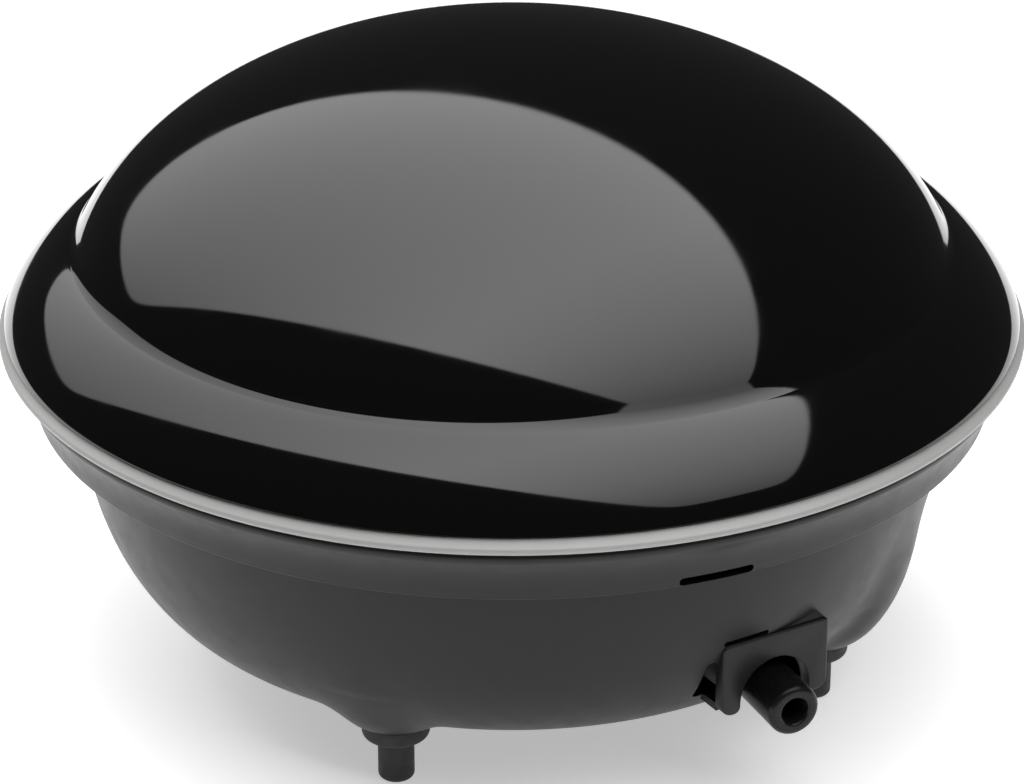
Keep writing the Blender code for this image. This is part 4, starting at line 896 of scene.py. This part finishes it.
dress(cap, base_finish.material, "housing", "base_dark_grey", "filter_cap")

# %% [markdown]
# ## Feet
# Each foot is one rubber turning: a thin stub to stand on, a wide flange, and a plug that is hidden in the
# leg. One is modelled and then copied to the other three legs, each copy with its own mesh.

# %% Feet
foot_low, foot_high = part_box("foot_front_left")
flange_radius = (foot_high.x - foot_low.x) / 2
flange_low = 6.1 * MM
flange_high = leg_end_z - GAP
STUB_RADIUS = 2.3 * MM
foot_outline = [(0.0, 0.0), (STUB_RADIUS - 0.7 * MM, 0.0)]
foot_outline += arc((STUB_RADIUS - 0.7 * MM, 0.7 * MM), 0.7 * MM, -80.0, 0.0, 6)
foot_outline += [(STUB_RADIUS, flange_low - 0.5 * MM)]
foot_outline += arc((STUB_RADIUS + 0.5 * MM, flange_low - 0.5 * MM), 0.5 * MM, 160.0, 90.0, 4)
foot_outline += arc((flange_radius - 0.8 * MM, flange_low + 0.8 * MM), 0.8 * MM, -90.0, 0.0, 7)
foot_outline += arc((flange_radius - 0.3 * MM, flange_high - 0.3 * MM), 0.3 * MM, 0.0, 90.0, 3)
foot_outline += [(2.9 * MM, flange_high), (2.9 * MM, foot_high.z), (0.0, foot_high.z)]
first_foot = lathe("foot_fine", foot_outline, 72)
for name, place in zip(foot_nodes, feet_places):
    foot = first_foot.copy()
    foot.data = first_foot.data.copy()
    foot.name = name + "_fine"
    bpy.context.scene.collection.objects.link(foot)
    foot.location = place
    deselect()
    foot.select_set(True)
    bpy.context.view_layer.objects.active = foot
    bpy.ops.object.transform_apply(location=True, rotation=True, scale=True)
    smooth(foot, 35.0)
    dress(foot, rubber_finish.material, "housing", "rubber_black", name)
bpy.data.objects.remove(first_foot, do_unlink=True)

# %% [markdown]
# ## Finishes of the mechanism
# Inside, the plain materials of a small machine meet: cream plastic mouldings, zinc-plated screws, a ground
# steel pin, a stack of stamped steel sheets, enamelled copper wire, a sintered magnet and a felt pad. Each
# finish carries the mark of how the piece is made: sheets and wire turns are fine even stripes, the screws
# have a fine mottle, the felt is a tangle of fibres.

# %% Finishes of the mechanism
cream_finish = Finish("inner_plastic", (0.55, 0.51, 0.43), 0.42)
cream_finish.colour_between(cream_finish.noise(5.0), (0.53, 0.49, 0.41), (0.57, 0.53, 0.45))
cream_finish.rough(cream_finish.ramp(cream_finish.noise(1.6), 0.3, 0.7, 0.36, 0.5))
cream_finish.bump(cream_finish.noise(0.3, 3.0), 0.004)

steel_finish = Finish("screw_steel", (0.56, 0.56, 0.57), 0.3, 1.0)
steel_finish.colour_between(steel_finish.noise(1.4), (0.5, 0.5, 0.51), (0.62, 0.62, 0.63))
steel_finish.rough(steel_finish.ramp(steel_finish.noise(0.5), 0.3, 0.7, 0.24, 0.38))
steel_finish.bump(steel_finish.noise(0.15, 3.0), 0.003)

core_finish = Finish("core_steel", (0.3, 0.3, 0.31), 0.42, 1.0)
sheets = core_finish.noise(0.5, 0.0, 0.5, core_finish.stretched((1.0, 0.02, 0.02)))
core_finish.colour_between(core_finish.noise(3.0), (0.24, 0.24, 0.25), (0.36, 0.35, 0.35))
core_finish.rough(core_finish.ramp(core_finish.noise(0.8), 0.3, 0.7, 0.36, 0.52))
core_finish.bump(sheets, 0.05)

copper_finish = Finish("winding_copper", (0.5, 0.17, 0.07), 0.3, 1.0)
turns = copper_finish.noise(0.3, 0.0, 0.5, copper_finish.stretched((0.02, 1.0, 0.02)))
copper_finish.colour_between(turns, (0.36, 0.11, 0.04), (0.6, 0.22, 0.09))
copper_finish.rough(copper_finish.ramp(copper_finish.noise(0.6), 0.3, 0.7, 0.25, 0.4))
copper_finish.bump(turns, 0.08)

magnet_finish = Finish("magnet_ferrite", (0.07, 0.07, 0.075), 0.5)
magnet_finish.colour_between(magnet_finish.noise(0.6), (0.055, 0.055, 0.06), (0.085, 0.085, 0.09))
magnet_finish.rough(magnet_finish.ramp(magnet_finish.noise(0.9), 0.3, 0.7, 0.42, 0.6))
magnet_finish.bump(magnet_finish.cells(0.3), 0.012)

felt_finish = Finish("filter_felt", (0.6, 0.57, 0.5), 0.95)
fibres = felt_finish.noise(0.35, 6.0, 0.7, felt_finish.stretched((1.0, 0.3, 1.0)))
felt_finish.colour_between(fibres, (0.48, 0.45, 0.39), (0.7, 0.67, 0.6))
felt_finish.rough(felt_finish.ramp(felt_finish.noise(2.0), 0.3, 0.7, 0.88, 1.0))
felt_finish.bump(fibres, 0.2)

# %% [markdown]
# ## Dressing the CAD parts
# Every CAD part that stays as it is takes the finish of its slot in the record. Parts that were remodelled
# above keep their finish too, so that nothing is left bare when a part is shown on its own.

# %% Dressing the CAD parts
finishes = {
    item.slot: item.material
    for item in (lid_finish, nozzle_finish, ring_finish, base_finish, rubber_finish, cream_finish,
                 steel_finish, core_finish, copper_finish, magnet_finish, felt_finish)
}
for part in frame["record"]["subparts"]:
    item = frame["nodes"][part["node"]]
    item.data.materials.clear()
    item.data.materials.append(finishes[part["material_slot"]])
print(len(frame["nodes"]), "CAD parts dressed in", len(finishes), "finishes")

# %% [markdown]
# ## The end

# %% Finish
import json
